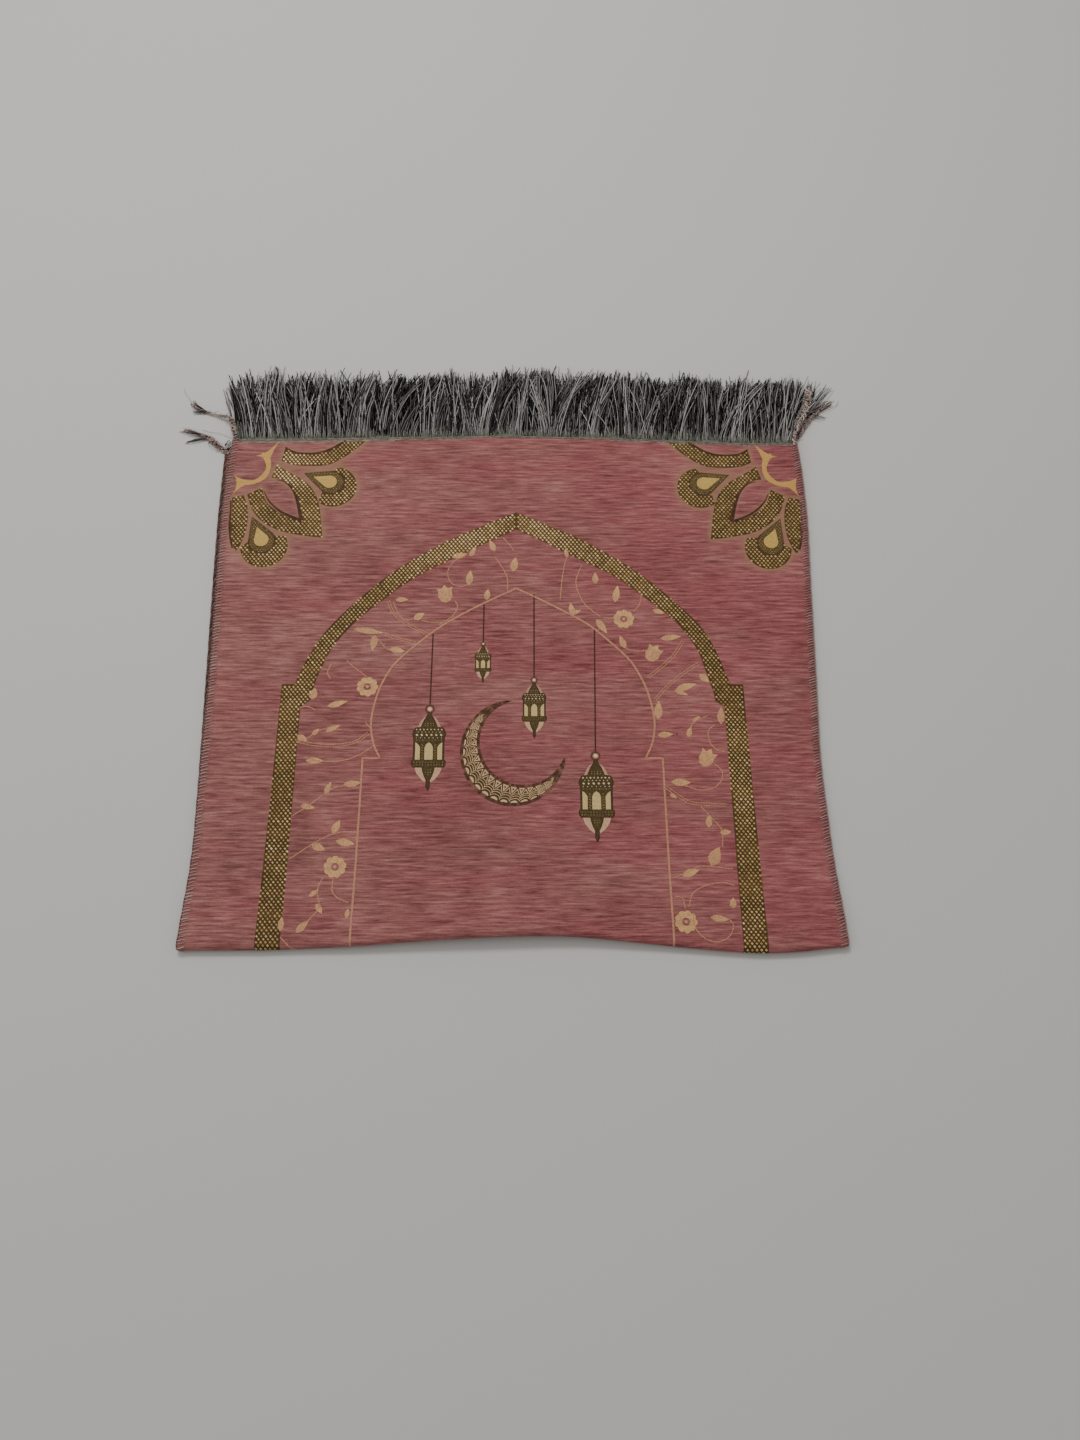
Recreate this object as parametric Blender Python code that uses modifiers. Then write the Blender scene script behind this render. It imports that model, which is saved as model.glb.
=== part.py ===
"""A chenille prayer rug folded once across its middle, face out, lying on a floor.

Metres, +Z up. Azimuth 0 looks along +Y: the fold is nearest and both fringed ends lie at the far side.
The cloth is drawn in rug millimetres and shifted last, so that the origin is the centre of its base box.
"""

import math
import random

import bmesh
import bpy

MM = 0.001

# Where the rug's own middle sits against the centre of the base box, in millimetres.
SHIFT_X = 6.4
SHIFT_Y = -50.3

# Cloth, in millimetres.
CLOTH_THICK = 2.6
LAYER_GAP = 1.0
LOWER_MID = CLOTH_THICK / 2
UPPER_MID = LOWER_MID + CLOTH_THICK + LAYER_GAP
COLUMNS = 24
UPPER_ROWS = 24
TURN_ROWS = 9
LOWER_ROWS = 18

# The outline seen from above: (y, x) of the two long edges of each layer, then (x, y) of the ends.
UPPER_LEFT = [(-300, -333), (-250, -330), (-200, -327), (-100, -329), (0, -330), (100, -333), (200, -336),
              (260, -335), (300, -331)]
UPPER_RIGHT = [(-300, 331), (-250, 328), (-200, 324), (-100, 321), (0, 326), (100, 330), (200, 335),
               (250, 334), (300, 329)]
LOWER_LEFT = [(-300, -333), (-250, -330), (-200, -328), (-100, -331), (-10, -334), (100, -338), (200, -341),
              (290, -341)]
LOWER_RIGHT = [(-300, 331), (-250, 328), (-200, 323), (-100, 318), (0, 321), (100, 324), (200, 326),
               (290, 325)]
UPPER_END = [(-340, 296), (-320, 297), (-200, 300), (0, 304), (100, 302), (200, 298), (300, 294), (340, 291)]
LOWER_END = [(-345, 284), (-200, 289), (0, 296), (200, 295), (340, 290)]
FOLD_FRONT = [(-340, -297), (-250, -297), (-160, -294), (-90, -289), (0, -285), (60, -285), (120, -291),
              (180, -297), (225, -301), (270, -302), (340, -294)]

# The turn of the fold: its mid-surface radius and its lift off the floor, from corner to middle.
TURN_RADIUS = (3.7, 6.0)
TURN_LIFT = (0.0, 4.4)
RISE_FROM, RISE_TO, RISE_CENTRE = -245.0, 205.0, -10.0
UPPER_EASE = 84.0
LOWER_EASE = 62.0

# Soft swellings of the upper layer: centre x, y, reach along x, y, height.
SWELLS = [(-215, 120, 150, 60, 1.5), (-80, -60, 190, 46, 1.2), (150, 30, 120, 80, 1.6),
          (250, -170, 90, 70, 1.9), (-290, -190, 60, 90, 1.7), (40, 215, 210, 44, 1.4),
          (-40, -190, 150, 38, 1.3)]
# Corners that curl up a little: x, y, reach, height.
CURLS = [(334, 292, 74, 5.5), (-334, 296, 46, 2.4)]

# Fringes, in millimetres.
LOCKS = 130
HEADING_OFF = 0.3
HEADING_DEEP = 4.0
HEADING_SIDE = 4.0
LOWER_HEADING_LEFT = 10.0
LOCK_SHARE = 0.76
LOCK_LONG = 90.0
LOCK_STEPS = 3
UPPER_LOCK_THICK = 3.0
LOWER_LOCK_THICK = 2.6
FAN = [(-335, -0.27), (-300, -0.2), (-240, -0.08), (-120, 0.03), (0, -0.02), (120, 0.04), (220, 0.1),
       (290, 0.2), (335, 0.3)]

# Edge bindings and their tails, in millimetres.
BINDING_OFF = 0.3
BINDING_RADIUS = 1.3
BINDING_STEP = 17.0
# Each tail as (x, y, z, radius): the upper one from its tip to the cloth, the lower one from the cloth to its tip.
TAILS = {
    "edge_binding_left": (
        [(-389, 350, 1.9, 1.2), (-381, 344, 2.3, 1.9), (-371, 340, 2.4, 2.1), (-359, 337, 2.8, 2.1),
         (-347, 332, 4.0, 2.3), (-338.5, 322, 5.5, 2.4), (-335, 308, 6.6, 2.2)],
        [(-345, 289, 2.0, 1.9), (-352, 296, 3.1, 2.8), (-361, 301, 3.3, 3.0), (-370, 305, 2.5, 2.2),
         (-382, 309, 2.0, 1.8), (-394, 313, 1.5, 1.2)]),
    "edge_binding_right": (
        [(352, 372, 6.0, 2.0), (350, 358, 5.6, 3.0), (347, 344, 5.8, 3.2), (342, 332, 7.4, 2.9),
         (335.5, 320, 9.4, 2.5), (332.5, 306, 10.8, 2.2)],
        [(331, 300, 1.9, 1.7), (341, 316, 2.3, 2.1), (353, 333, 2.4, 2.1), (366, 347, 2.1, 1.9),
         (381, 358, 1.6, 1.2)]),
}


def lerp_table(table, at):
    """Read a table of (position, value) rows at a position, straight between rows and level past its ends."""
    if at <= table[0][0]:
        return table[0][1]
    for (here, low), (there, high) in zip(table, table[1:]):
        if at <= there:
            return low + (high - low) * (at - here) / (there - here)
    return table[-1][1]


def smooth_table(table, at):
    """Average the table over a short reach, so that its corners are soft."""
    return sum(lerp_table(table, at + off) for off in (-24, -12, 0, 12, 24)) / 5


def ease(share):
    """Fall from 1 to 0 as share goes from 0 to 1, level at both ends."""
    share = min(max(share, 0.0), 1.0)
    return (1 - share) ** 2 * (1 + 2 * share)


def middle_rise(x):
    """0 at the fold's corners and 1 where its middle stands highest."""
    if x < RISE_CENTRE:
        share = (RISE_CENTRE - x) / (RISE_CENTRE - RISE_FROM)
    else:
        share = (x - RISE_CENTRE) / (RISE_TO - RISE_CENTRE)
    return ease(share)


def turn_at(x):
    """The fold at this x: front edge y, radius, lift."""
    rise = middle_rise(x)
    radius = TURN_RADIUS[0] + (TURN_RADIUS[1] - TURN_RADIUS[0]) * rise
    lift = TURN_LIFT[0] + (TURN_LIFT[1] - TURN_LIFT[0]) * rise
    front = smooth_table(FOLD_FRONT, x) + CLOTH_THICK / 2
    return front, radius, lift


def upper_height(x, y):
    """Mid-surface height of the upper layer away from the fold's own rise."""
    height = UPPER_MID
    for cx, cy, rx, ry, top in SWELLS:
        height += top * math.exp(-((x - cx) / rx) ** 2 - ((y - cy) / ry) ** 2)
    for cx, cy, reach, top in CURLS:
        height += top * ease(math.hypot(x - cx, y - cy) / reach)
    return height


def fold_point(x, run):
    """Mid-surface point at cloth x and run.

    The run is y on the upper layer. It goes on down round the turn and back along the lower layer.
    """
    front, radius, lift = turn_at(x)
    start = front + radius
    centre = LOWER_MID + lift + radius
    if run >= start:
        past = run - start
        flat = upper_height(x, run)
        return x, run, flat + (centre + radius - flat) * ease(past / UPPER_EASE)
    turned = (start - run) / radius
    if turned <= math.pi:
        return x, start - radius * math.sin(turned), centre + radius * math.cos(turned)
    past = (turned - math.pi) * radius
    return x, start + past, LOWER_MID + (centre - radius - LOWER_MID) * ease(past / LOWER_EASE)


def run_of_lower(x, y):
    """The run at which the lower layer lies at this y."""
    front, radius, _ = turn_at(x)
    start = front + radius
    return start - math.pi * radius - (y - start)


def edge_x(side, run):
    """The x of a long edge at this run: side -1 is left, 1 is right."""
    upper, lower = (UPPER_LEFT, LOWER_LEFT) if side < 0 else (UPPER_RIGHT, LOWER_RIGHT)
    x = lerp_table(upper, run)
    front, radius, _ = turn_at(x)
    if run >= front + radius:
        return smooth_table(upper, run)
    behind = front + radius - math.pi * radius - run
    return smooth_table(lower, front + radius + max(behind, 0.0))


def end_x(share, upper):
    """The x of a column where its layer ends."""
    left, right = (UPPER_LEFT, UPPER_RIGHT) if upper else (LOWER_LEFT, LOWER_RIGHT)
    left, right = smooth_table(left, 300), smooth_table(right, 300)
    return left + (right - left) * share


def runs_of_column(share):
    """The runs of one column of the cloth, from the upper end to the lower end."""
    front, radius, _ = turn_at(-330 + 660 * share)
    start = front + radius
    top = smooth_table(UPPER_END, end_x(share, True))
    under_x = end_x(share, False)
    bottom = run_of_lower(under_x, smooth_table(LOWER_END, under_x))
    runs = [top + (start - top) * (1 - (1 - i / UPPER_ROWS) ** 1.25) for i in range(UPPER_ROWS)]
    runs += [start - math.pi * radius * i / TURN_ROWS for i in range(TURN_ROWS)]
    under = start - math.pi * radius
    runs += [under + (bottom - under) * (i / LOWER_ROWS) ** 1.2 for i in range(LOWER_ROWS + 1)]
    return runs


def cloth_x(share, run):
    """The x of a column at this run."""
    left, right = edge_x(-1, run), edge_x(1, run)
    return left + (right - left) * share


def to_scene(point):
    """Rug millimetres to metres about the base centre."""
    return (point[0] + SHIFT_X) * MM, (point[1] + SHIFT_Y) * MM, point[2] * MM


def new_collection(name):
    """Add a collection to the scene."""
    collection = bpy.data.collections.new(name)
    bpy.context.scene.collection.children.link(collection)
    return collection


def principled(name, colour, rough):
    """A plain Principled material."""
    material = bpy.data.materials.new(name)
    material.use_nodes = True
    shader = material.node_tree.nodes["Principled BSDF"]
    shader.inputs["Base Color"].default_value = (*colour, 1.0)
    shader.inputs["Roughness"].default_value = rough
    return material


def add_object(name, data, material, collection):
    """Put a mesh or a curve in the scene as a named object with its material."""
    thing = bpy.data.objects.new(name, data)
    collection.objects.link(thing)
    data.materials.append(material)
    return thing


def build_cloth(material, collection):
    """One sheet through both layers and the turn, thickened evenly to both sides."""
    columns = [runs_of_column(c / COLUMNS) for c in range(COLUMNS + 1)]
    last = len(columns[0]) - 1
    work = bmesh.new()
    bmesh.ops.create_grid(work, x_segments=COLUMNS, y_segments=last, size=1.0)
    for vert in work.verts:
        column = round((vert.co.x + 1) / 2 * COLUMNS)
        run = columns[column][round((1 - vert.co.y) / 2 * last)]
        vert.co = to_scene(fold_point(cloth_x(column / COLUMNS, run), run))
    mesh = bpy.data.meshes.new("rug_cloth")
    work.to_mesh(mesh)
    work.free()
    thing = add_object("rug_cloth", mesh, material, collection)
    solid = thing.modifiers.new("cloth_thickness", "SOLIDIFY")
    solid.thickness = CLOTH_THICK * MM
    solid.offset = 0.0
    solid.use_even_offset = True
    return thing


def lock_paths(seed, upper):
    """Sideways shift, length and lift of each lock's tip, neighbours alike enough to stay apart."""
    dice = random.Random(seed)
    paths = []
    drift = 0.0
    for i in range(LOCKS):
        root = -320 + 640 * (i + 0.5) / LOCKS
        drift = 0.55 * drift + dice.uniform(-0.55, 0.55)
        lean = LOCK_LONG * lerp_table(FAN, root) + drift
        wave = math.sin(root * 0.061 + seed) + 0.6 * math.sin(root * 0.173 + 2 * seed)
        length = LOCK_LONG + 3.0 * wave + dice.uniform(-2.5, 2.5)
        lift = 2.0 + 1.7 * math.sin(root * 0.083 + 1.3) + dice.uniform(-0.9, 1.4) if upper else 0.0
        paths.append((lean, length, lift))
    return paths


def heading_edges(left, right):
    """The x of each cell edge of the heading: gap, lock, gap, lock and so on, with a gap last."""
    pitch = (right - left) / LOCKS
    edges = [left]
    for i in range(LOCKS):
        middle = left + pitch * (i + 0.5)
        edges += [middle - pitch * LOCK_SHARE / 2, middle + pitch * LOCK_SHARE / 2]
    return edges + [right]


def move_section(face, centre, wide, deep, across):
    """Turn a lock's end face into an upright rectangle about a centre, keeping its corners' order."""
    old = face.calc_center_median()
    for vert in face.verts:
        side = wide / 2 if (vert.co.x - old.x) * across[0] + (vert.co.y - old.y) * across[1] > 0 else -wide / 2
        high = deep / 2 if vert.co.z > old.z else -deep / 2
        vert.co = to_scene((centre[0] + across[0] * side, centre[1] + across[1] * side, centre[2] + high))


def build_fringe(name, upper, material, collection):
    """A comb: a narrow woven heading along the cloth's end, and locks that grow out of its far face."""
    thick = UPPER_LOCK_THICK if upper else LOWER_LOCK_THICK
    ends = UPPER_END if upper else LOWER_END
    left_table, right_table = (UPPER_LEFT, UPPER_RIGHT) if upper else (LOWER_LEFT, LOWER_RIGHT)
    left = lerp_table(left_table, 300) + (HEADING_SIDE if upper else LOWER_HEADING_LEFT)
    right = lerp_table(right_table, 300) - HEADING_SIDE
    edges = heading_edges(left, right)
    near_ys = [smooth_table(ends, x) + HEADING_OFF for x in edges]
    mids = [upper_height(x, y) + 0.2 if upper else thick / 2 for x, y in zip(edges, near_ys)]
    work = bmesh.new()
    bmesh.ops.create_grid(work, x_segments=len(edges) - 1, y_segments=1, size=1.0)
    for vert in work.verts:
        cell = round((vert.co.x + 1) / 2 * (len(edges) - 1))
        y = near_ys[cell] + (HEADING_DEEP if vert.co.y > 0 else 0.0)
        vert.co = to_scene((edges[cell], y, mids[cell] - thick / 2))
    raised = bmesh.ops.extrude_face_region(work, geom=list(work.faces), use_keep_orig=True)["geom"]
    raised = [vert for vert in raised if isinstance(vert, bmesh.types.BMVert)]
    bmesh.ops.translate(work, vec=(0, 0, thick * MM), verts=raised)
    bmesh.ops.recalc_face_normals(work, faces=work.faces)
    far = sorted((f for f in work.faces if f.normal.y > 0.9), key=lambda f: f.calc_center_median().x)
    for i, (lean, length, lift) in enumerate(lock_paths(3 if upper else 8, upper)):
        face = far[2 * i + 1]
        x = (edges[2 * i + 1] + edges[2 * i + 2]) / 2
        wide = edges[2 * i + 2] - edges[2 * i + 1]
        near = (near_ys[2 * i + 1] + near_ys[2 * i + 2]) / 2 + HEADING_DEEP
        mid = (mids[2 * i + 1] + mids[2 * i + 2]) / 2
        angle = math.atan2(lean, length)
        across = (math.cos(angle), -math.sin(angle))
        for step in range(1, LOCK_STEPS + 1):
            share = step / LOCK_STEPS
            face = bmesh.ops.extrude_discrete_faces(work, faces=[face])["faces"][0]
            deep = thick * (1 - (0.2 if upper else 0.3) * share)
            high = mid + lift * math.sin(share * math.pi * 0.62) if upper else deep / 2
            centre = (x + lean * share ** 1.15, near + length * share, high)
            move_section(face, centre, wide * (1 - 0.28 * share), deep, across)
    bmesh.ops.recalc_face_normals(work, faces=work.faces)
    mesh = bpy.data.meshes.new(name)
    work.to_mesh(mesh)
    work.free()
    return add_object(name, mesh, material, collection)


def binding_path(side):
    """Centre line of the thread beside a long edge, from the upper end round the turn to the lower end."""
    corner = (UPPER_LEFT if side < 0 else UPPER_RIGHT)[-1][1]
    top = lerp_table(UPPER_END, corner) - 1.0
    front, radius, _ = turn_at(corner)
    start = front + radius
    under = start - math.pi * radius
    bottom = run_of_lower(corner, lerp_table(LOWER_END, corner)) + 2.0
    steps = round((top - start) / BINDING_STEP)
    runs = [top + (start - top) * i / steps for i in range(steps)]
    runs += [start - math.pi * radius * i / TURN_ROWS for i in range(TURN_ROWS)]
    steps = round((under - bottom) / BINDING_STEP)
    runs += [under + (bottom - under) * i / steps for i in range(steps + 1)]
    return [fold_point(edge_x(side, run) + side * (BINDING_OFF + BINDING_RADIUS), run) for run in runs]


def build_binding(name, side, material, collection):
    """The overlock thread of one long side, with its free tail at each end."""
    points = list(TAILS[name][0])
    points += [(*point, BINDING_RADIUS) for point in binding_path(side)]
    points += TAILS[name][1]
    curve = bpy.data.curves.new(name, "CURVE")
    curve.dimensions = "3D"
    curve.bevel_depth = MM
    curve.bevel_resolution = 2
    curve.use_fill_caps = True
    spline = curve.splines.new("POLY")
    spline.points.add(len(points) - 1)
    for target, point in zip(spline.points, points):
        target.co = (*to_scene(point[:3]), 1.0)
        target.radius = point[3]
    return add_object(name, curve, material, collection)


def clear_scene():
    """Start from nothing."""
    for thing in list(bpy.data.objects):
        bpy.data.objects.remove(thing, do_unlink=True)


def main():
    """Build every piece of the rug."""
    clear_scene()
    rug = new_collection("folded_prayer_rug")
    build_cloth(principled("rose_chenille", (0.30, 0.115, 0.115), 0.95), rug)
    build_fringe("fringe_upper", True, principled("grey_yarn", (0.12, 0.12, 0.125), 0.9), rug)
    build_fringe("fringe_lower", False, principled("charcoal_yarn", (0.06, 0.06, 0.065), 0.9), rug)
    thread = principled("overlock_thread", (0.33, 0.19, 0.17), 0.85)
    build_binding("edge_binding_left", -1, thread, rug)
    build_binding("edge_binding_right", 1, thread.copy(), rug)


main()
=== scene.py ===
"""Dressed model of a folded chenille prayer rug on a pale studio floor.

The rug is drawn flat in cloth millimetres: x across, run along its length, out from its middle surface.
One lay of the fold then carries every woven, sewn and knotted piece to its place in metres.
"""

import logging
import math
from dataclasses import dataclass, field
from enum import Enum

import bmesh
import bpy
import numpy as np
from mathutils import Matrix, Vector
from mathutils.geometry import tessellate_polygon


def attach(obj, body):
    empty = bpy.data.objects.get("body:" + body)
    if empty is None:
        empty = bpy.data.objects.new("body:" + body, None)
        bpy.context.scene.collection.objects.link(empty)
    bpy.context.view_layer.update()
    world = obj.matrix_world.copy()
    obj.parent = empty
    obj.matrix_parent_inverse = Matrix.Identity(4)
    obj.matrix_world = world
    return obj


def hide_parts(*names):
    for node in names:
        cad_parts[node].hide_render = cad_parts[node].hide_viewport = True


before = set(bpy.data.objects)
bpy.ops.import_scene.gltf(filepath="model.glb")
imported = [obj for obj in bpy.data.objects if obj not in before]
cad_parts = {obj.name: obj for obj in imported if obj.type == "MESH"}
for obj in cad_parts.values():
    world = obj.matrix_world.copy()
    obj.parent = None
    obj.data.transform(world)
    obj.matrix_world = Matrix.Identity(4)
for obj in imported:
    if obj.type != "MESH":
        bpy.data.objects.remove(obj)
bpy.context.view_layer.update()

MM = 0.001
UV_UNIT_MM = 100.0  # one UV unit on the cloth is 100 mm of it
TINY = 1e-9  # keeps a division by a length of nothing safe
LOG = logging.getLogger("prayer_rug")

Array = np.ndarray
Piece = bpy.types.Object
Points = list[tuple[float, float]]


# ---------------------------------------------------------------- small helpers


def linear(code: str) -> tuple[float, float, float, float]:
    """Turn an sRGB hex colour with its leading # into linear RGBA."""
    parts = [int(code[i:i + 2], 16) / 255 for i in (1, 3, 5)]
    low = [c / 12.92 if c <= 0.04045 else ((c + 0.055) / 1.055) ** 2.4 for c in parts]
    return (*low, 1.0)


WEIGHED = ("Math", {"operation": "MULTIPLY_ADD"})  # a node that adds its weighted first input to its last
RANGE = ("MapRange", None)


def add_node(tree: bpy.types.NodeTree, kind: str, settings: dict | None = None, values: dict | None = None,
             links: dict | None = None, stops: tuple = ()) -> bpy.types.Node:
    """Add one shader node with its settings, socket values, incoming links and ramp colours.

    Args:
        tree: Node tree that receives it.
        kind: Blender's name for the node type, after ShaderNode.
        settings: Properties to set on the node.
        values: Socket defaults by name or index.
        links: Outputs to join, by the name or index of this node's input.
        stops: Positions and hex colours of a ramp, in order.

    Returns:
        The new node.
    """
    node = tree.nodes.new("ShaderNode" + kind)
    for name, value in (settings or {}).items():
        setattr(node, name, value)
    for name, value in (values or {}).items():
        node.inputs[name].default_value = value
    for name, output in (links or {}).items():
        tree.links.new(output, node.inputs[name])
    for place, (position, code) in enumerate(stops):
        ramp = node.color_ramp.elements
        element = ramp[place] if place < len(ramp) else ramp.new(1.0)
        element.position, element.color = position, linear(code)
    return node


def new_material(name: str, values: dict) -> tuple[bpy.types.Material, bpy.types.Node]:
    """Start a material: give it and its shader, with the shader's own values set."""
    material = bpy.data.materials.new(name)
    material.use_nodes = True
    shader = material.node_tree.nodes["Principled BSDF"]
    for socket, value in values.items():
        shader.inputs[socket].default_value = value
    return material, shader


def read(table: tuple, at: Array) -> Array:
    """Read a table of (position, value) rows at positions, straight between rows and level past its ends."""
    rows = np.array(table, float)
    return np.interp(at, rows[:, 0], rows[:, 1])


def read_smooth(table: tuple, at: Array) -> Array:
    """Read a table averaged over a short reach, so that its corners are soft."""
    at = np.asarray(at, float)
    return sum(read(table, at + off) for off in (-24, -12, 0, 12, 24)) / 5


def ease(share: Array) -> Array:
    """Fall from 1 to 0 as share goes from 0 to 1, level at both ends."""
    share = np.clip(share, 0.0, 1.0)
    return (1 - share) ** 2 * (1 + 2 * share)


def through(points: Points, step: float = 4.0) -> Array:
    """Draw a soft curve through points.

    Args:
        points: Points that the curve passes, in order.
        step: Spacing of the samples, in millimetres.

    Returns:
        The samples, one row each.
    """
    pts = np.array(points, float)
    padded = np.vstack([2 * pts[0] - pts[1], pts, 2 * pts[-1] - pts[-2]])
    out = []
    for a, b, c, d in zip(padded, padded[1:], padded[2:], padded[3:]):
        count = max(int(np.linalg.norm(c - b) / step), 2)
        for t in np.arange(count) / count:
            out.append(0.5 * (2 * b + (c - a) * t + (2 * a - 5 * b + 4 * c - d) * t * t
                              + (3 * b - a - 3 * c + d) * t ** 3))
    return np.array(out + [pts[-1]])


def evenly(points: Array, step: float) -> Array:
    """Resample a polyline at an even spacing, straight between its points."""
    pts = np.asarray(points, float)
    away = np.concatenate([[0.0], np.cumsum(np.linalg.norm(np.diff(pts, axis=0), axis=1))])
    count = max(int(round(away[-1] / step)), 1)
    at = np.linspace(0, away[-1], count + 1)
    return joined(*(np.interp(at, away, part) for part in pts.T))


def spread(values: Array | tuple, count: int) -> Array:
    """Stretch a list of values, or of points, to as many as count, straight between them."""
    given = np.asarray(values, float)
    old, new = np.linspace(0, 1, len(given)), np.linspace(0, 1, count)
    if given.ndim == 1:
        return np.interp(new, old, given)
    return joined(*(np.interp(new, old, part) for part in given.T))


def joined(*parts: Array) -> Array:
    """Join coordinates of the same shape into points."""
    return np.stack(parts, axis=-1)


def unit(vectors: Array) -> Array:
    """Give vectors of length 1 the same way."""
    return vectors / np.maximum(np.linalg.norm(vectors, axis=-1, keepdims=True), TINY)


def left_of(along: Array) -> Array:
    """Turn flat directions a quarter turn to the left."""
    return joined(-along[:, 1], along[:, 0])


def arc(cx: float, cy: float, radius: float, start: float, end: float, step: float = 2.0) -> Array:
    """Sample a circle's arc between two angles in degrees, either way round."""
    count = max(int(abs(math.radians(end - start)) * radius / step), 4)
    turn = np.radians(np.linspace(start, end, count + 1))
    return joined(cx + radius * np.cos(turn), cy + radius * np.sin(turn))


def mirrored(points: Array, about: float) -> Array:
    """Mirror points across the line x = about."""
    pts = np.array(points, float)
    pts[:, 0] = 2 * about - pts[:, 0]
    return pts


def inside(points: Array, outline: Array) -> Array:
    """Say which points lie inside a closed outline."""
    x, y = points.T
    found = np.zeros(len(points), bool)
    for (ax, ay), (bx, by) in zip(outline, np.roll(outline, -1, axis=0)):
        if ay != by:
            found ^= ((ay > y) != (by > y)) & (x < (bx - ax) * (y - ay) / (by - ay) + ax)
    return found


def shrunk(outline: Array, by: float) -> Array:
    """Move each point of a closed outline inwards by a distance in millimetres."""
    ahead, behind = np.roll(outline, -1, axis=0), np.roll(outline, 1, axis=0)
    area = np.sum(outline[:, 0] * ahead[:, 1] - ahead[:, 0] * outline[:, 1])
    return outline + (by if area > 0 else -by) * left_of(unit(ahead - behind))


# ---------------------------------------------------------------- the lay of the fold


@dataclass(frozen=True)
class RugLay:
    """How the cloth lies: lower layer on the floor, a soft turn, and the upper layer. All in millimetres."""

    shift_x: float = 6.4
    shift_y: float = -50.3
    thick: float = 2.6
    gap: float = 1.0
    upper_left: tuple = (
        (-300, -333), (-250, -330), (-200, -327), (-100, -329), (0, -330), (100, -333), (200, -336),
        (260, -335), (300, -331))
    upper_right: tuple = (
        (-300, 331), (-250, 328), (-200, 324), (-100, 321), (0, 326), (100, 330), (200, 335), (250, 334),
        (300, 329))
    lower_left: tuple = (
        (-300, -333), (-250, -330), (-200, -328), (-100, -331), (-10, -334), (100, -338), (200, -341),
        (290, -341))
    lower_right: tuple = (
        (-300, 331), (-250, 328), (-200, 323), (-100, 318), (0, 321), (100, 324), (200, 326), (290, 325))
    upper_end: tuple = (
        (-340, 296), (-320, 297), (-200, 300), (0, 304), (100, 302), (200, 298), (300, 294), (340, 291))
    lower_end: tuple = ((-345, 284), (-200, 289), (0, 296), (200, 295), (340, 290))
    fold_front: tuple = (
        (-340, -297), (-250, -297), (-160, -294), (-90, -289), (0, -285), (60, -285), (120, -291),
        (180, -297), (225, -301), (270, -302), (340, -294))
    turn_radius: tuple = (3.7, 6.0)
    turn_lift: float = 4.4
    rise_from: float = -245.0
    rise_to: float = 205.0
    rise_centre: float = -10.0
    upper_ease: float = 84.0
    lower_ease: float = 62.0
    swells: tuple = (
        (-215, 120, 150, 60, 1.5), (-80, -60, 190, 46, 1.2), (150, 30, 120, 80, 1.6),
        (250, -170, 90, 70, 1.9), (-290, -190, 60, 90, 1.7), (40, 215, 210, 44, 1.4),
        (-40, -190, 150, 38, 1.3))
    curls: tuple = ((334, 292, 74, 5.5), (-334, 296, 46, 2.4))
    # The cloth's small puckers: their height, and where they start and are full, past the turn.
    pucker: float = 0.22
    pucker_from: float = 6.0
    pucker_ease: float = 60.0

    @property
    def lower_mid(self) -> float:
        """Height of the lower layer's middle."""
        return self.thick / 2

    @property
    def upper_mid(self) -> float:
        """Height of the upper layer's middle where it lies flat."""
        return self.lower_mid + self.thick + self.gap

    def turn(self, x: Array) -> tuple[Array, Array, Array]:
        """Give the start run, radius and lift of the fold's turn at each x."""
        x = np.asarray(x, float)
        share = np.where(x < self.rise_centre, (self.rise_centre - x) / (self.rise_centre - self.rise_from),
                         (x - self.rise_centre) / (self.rise_to - self.rise_centre))
        rise = ease(share)
        radius = self.turn_radius[0] + (self.turn_radius[1] - self.turn_radius[0]) * rise
        front = read_smooth(self.fold_front, x) + self.thick / 2
        return front + radius, radius, self.turn_lift * rise

    def upper_height(self, x: Array, y: Array) -> Array:
        """Middle height of the upper layer away from the fold."""
        height = np.full(np.broadcast(x, y).shape, self.upper_mid)
        for cx, cy, rx, ry, top in self.swells:
            height += top * np.exp(-((x - cx) / rx) ** 2 - ((y - cy) / ry) ** 2)
        for cx, cy, reach, top in self.curls:
            height += top * ease(np.hypot(x - cx, y - cy) / reach)
        return height

    def middle(self, x: Array, run: Array) -> Array:
        """Give the middle surface's points in rug millimetres.

        Args:
            x: Cloth x of each point.
            run: Cloth run: y on the upper layer, going on down round the turn and back below.

        Returns:
            One row of x, y, z for each point.
        """
        x, run = np.broadcast_arrays(np.asarray(x, float), np.asarray(run, float))
        start, radius, lift = self.turn(x)
        centre = self.lower_mid + lift + radius
        flat = self.upper_height(x, run)
        upper_z = flat + (centre + radius - flat) * ease((run - start) / self.upper_ease)
        turned = (start - run) / radius
        past = (turned - math.pi) * radius
        lower_z = self.lower_mid + lift * ease(past / self.lower_ease)
        on_upper, on_turn = run >= start, (run < start) & (turned <= math.pi)
        y = np.where(on_upper, run, np.where(on_turn, start - radius * np.sin(turned), start + past))
        z = np.where(on_upper, upper_z, np.where(on_turn, centre + radius * np.cos(turned), lower_z))
        return joined(x, y, z)

    def metres(self, points: Array) -> Array:
        """Carry points from rug millimetres to metres in the row frame."""
        return (points + np.array([self.shift_x, self.shift_y, 0.0])) * MM

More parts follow.
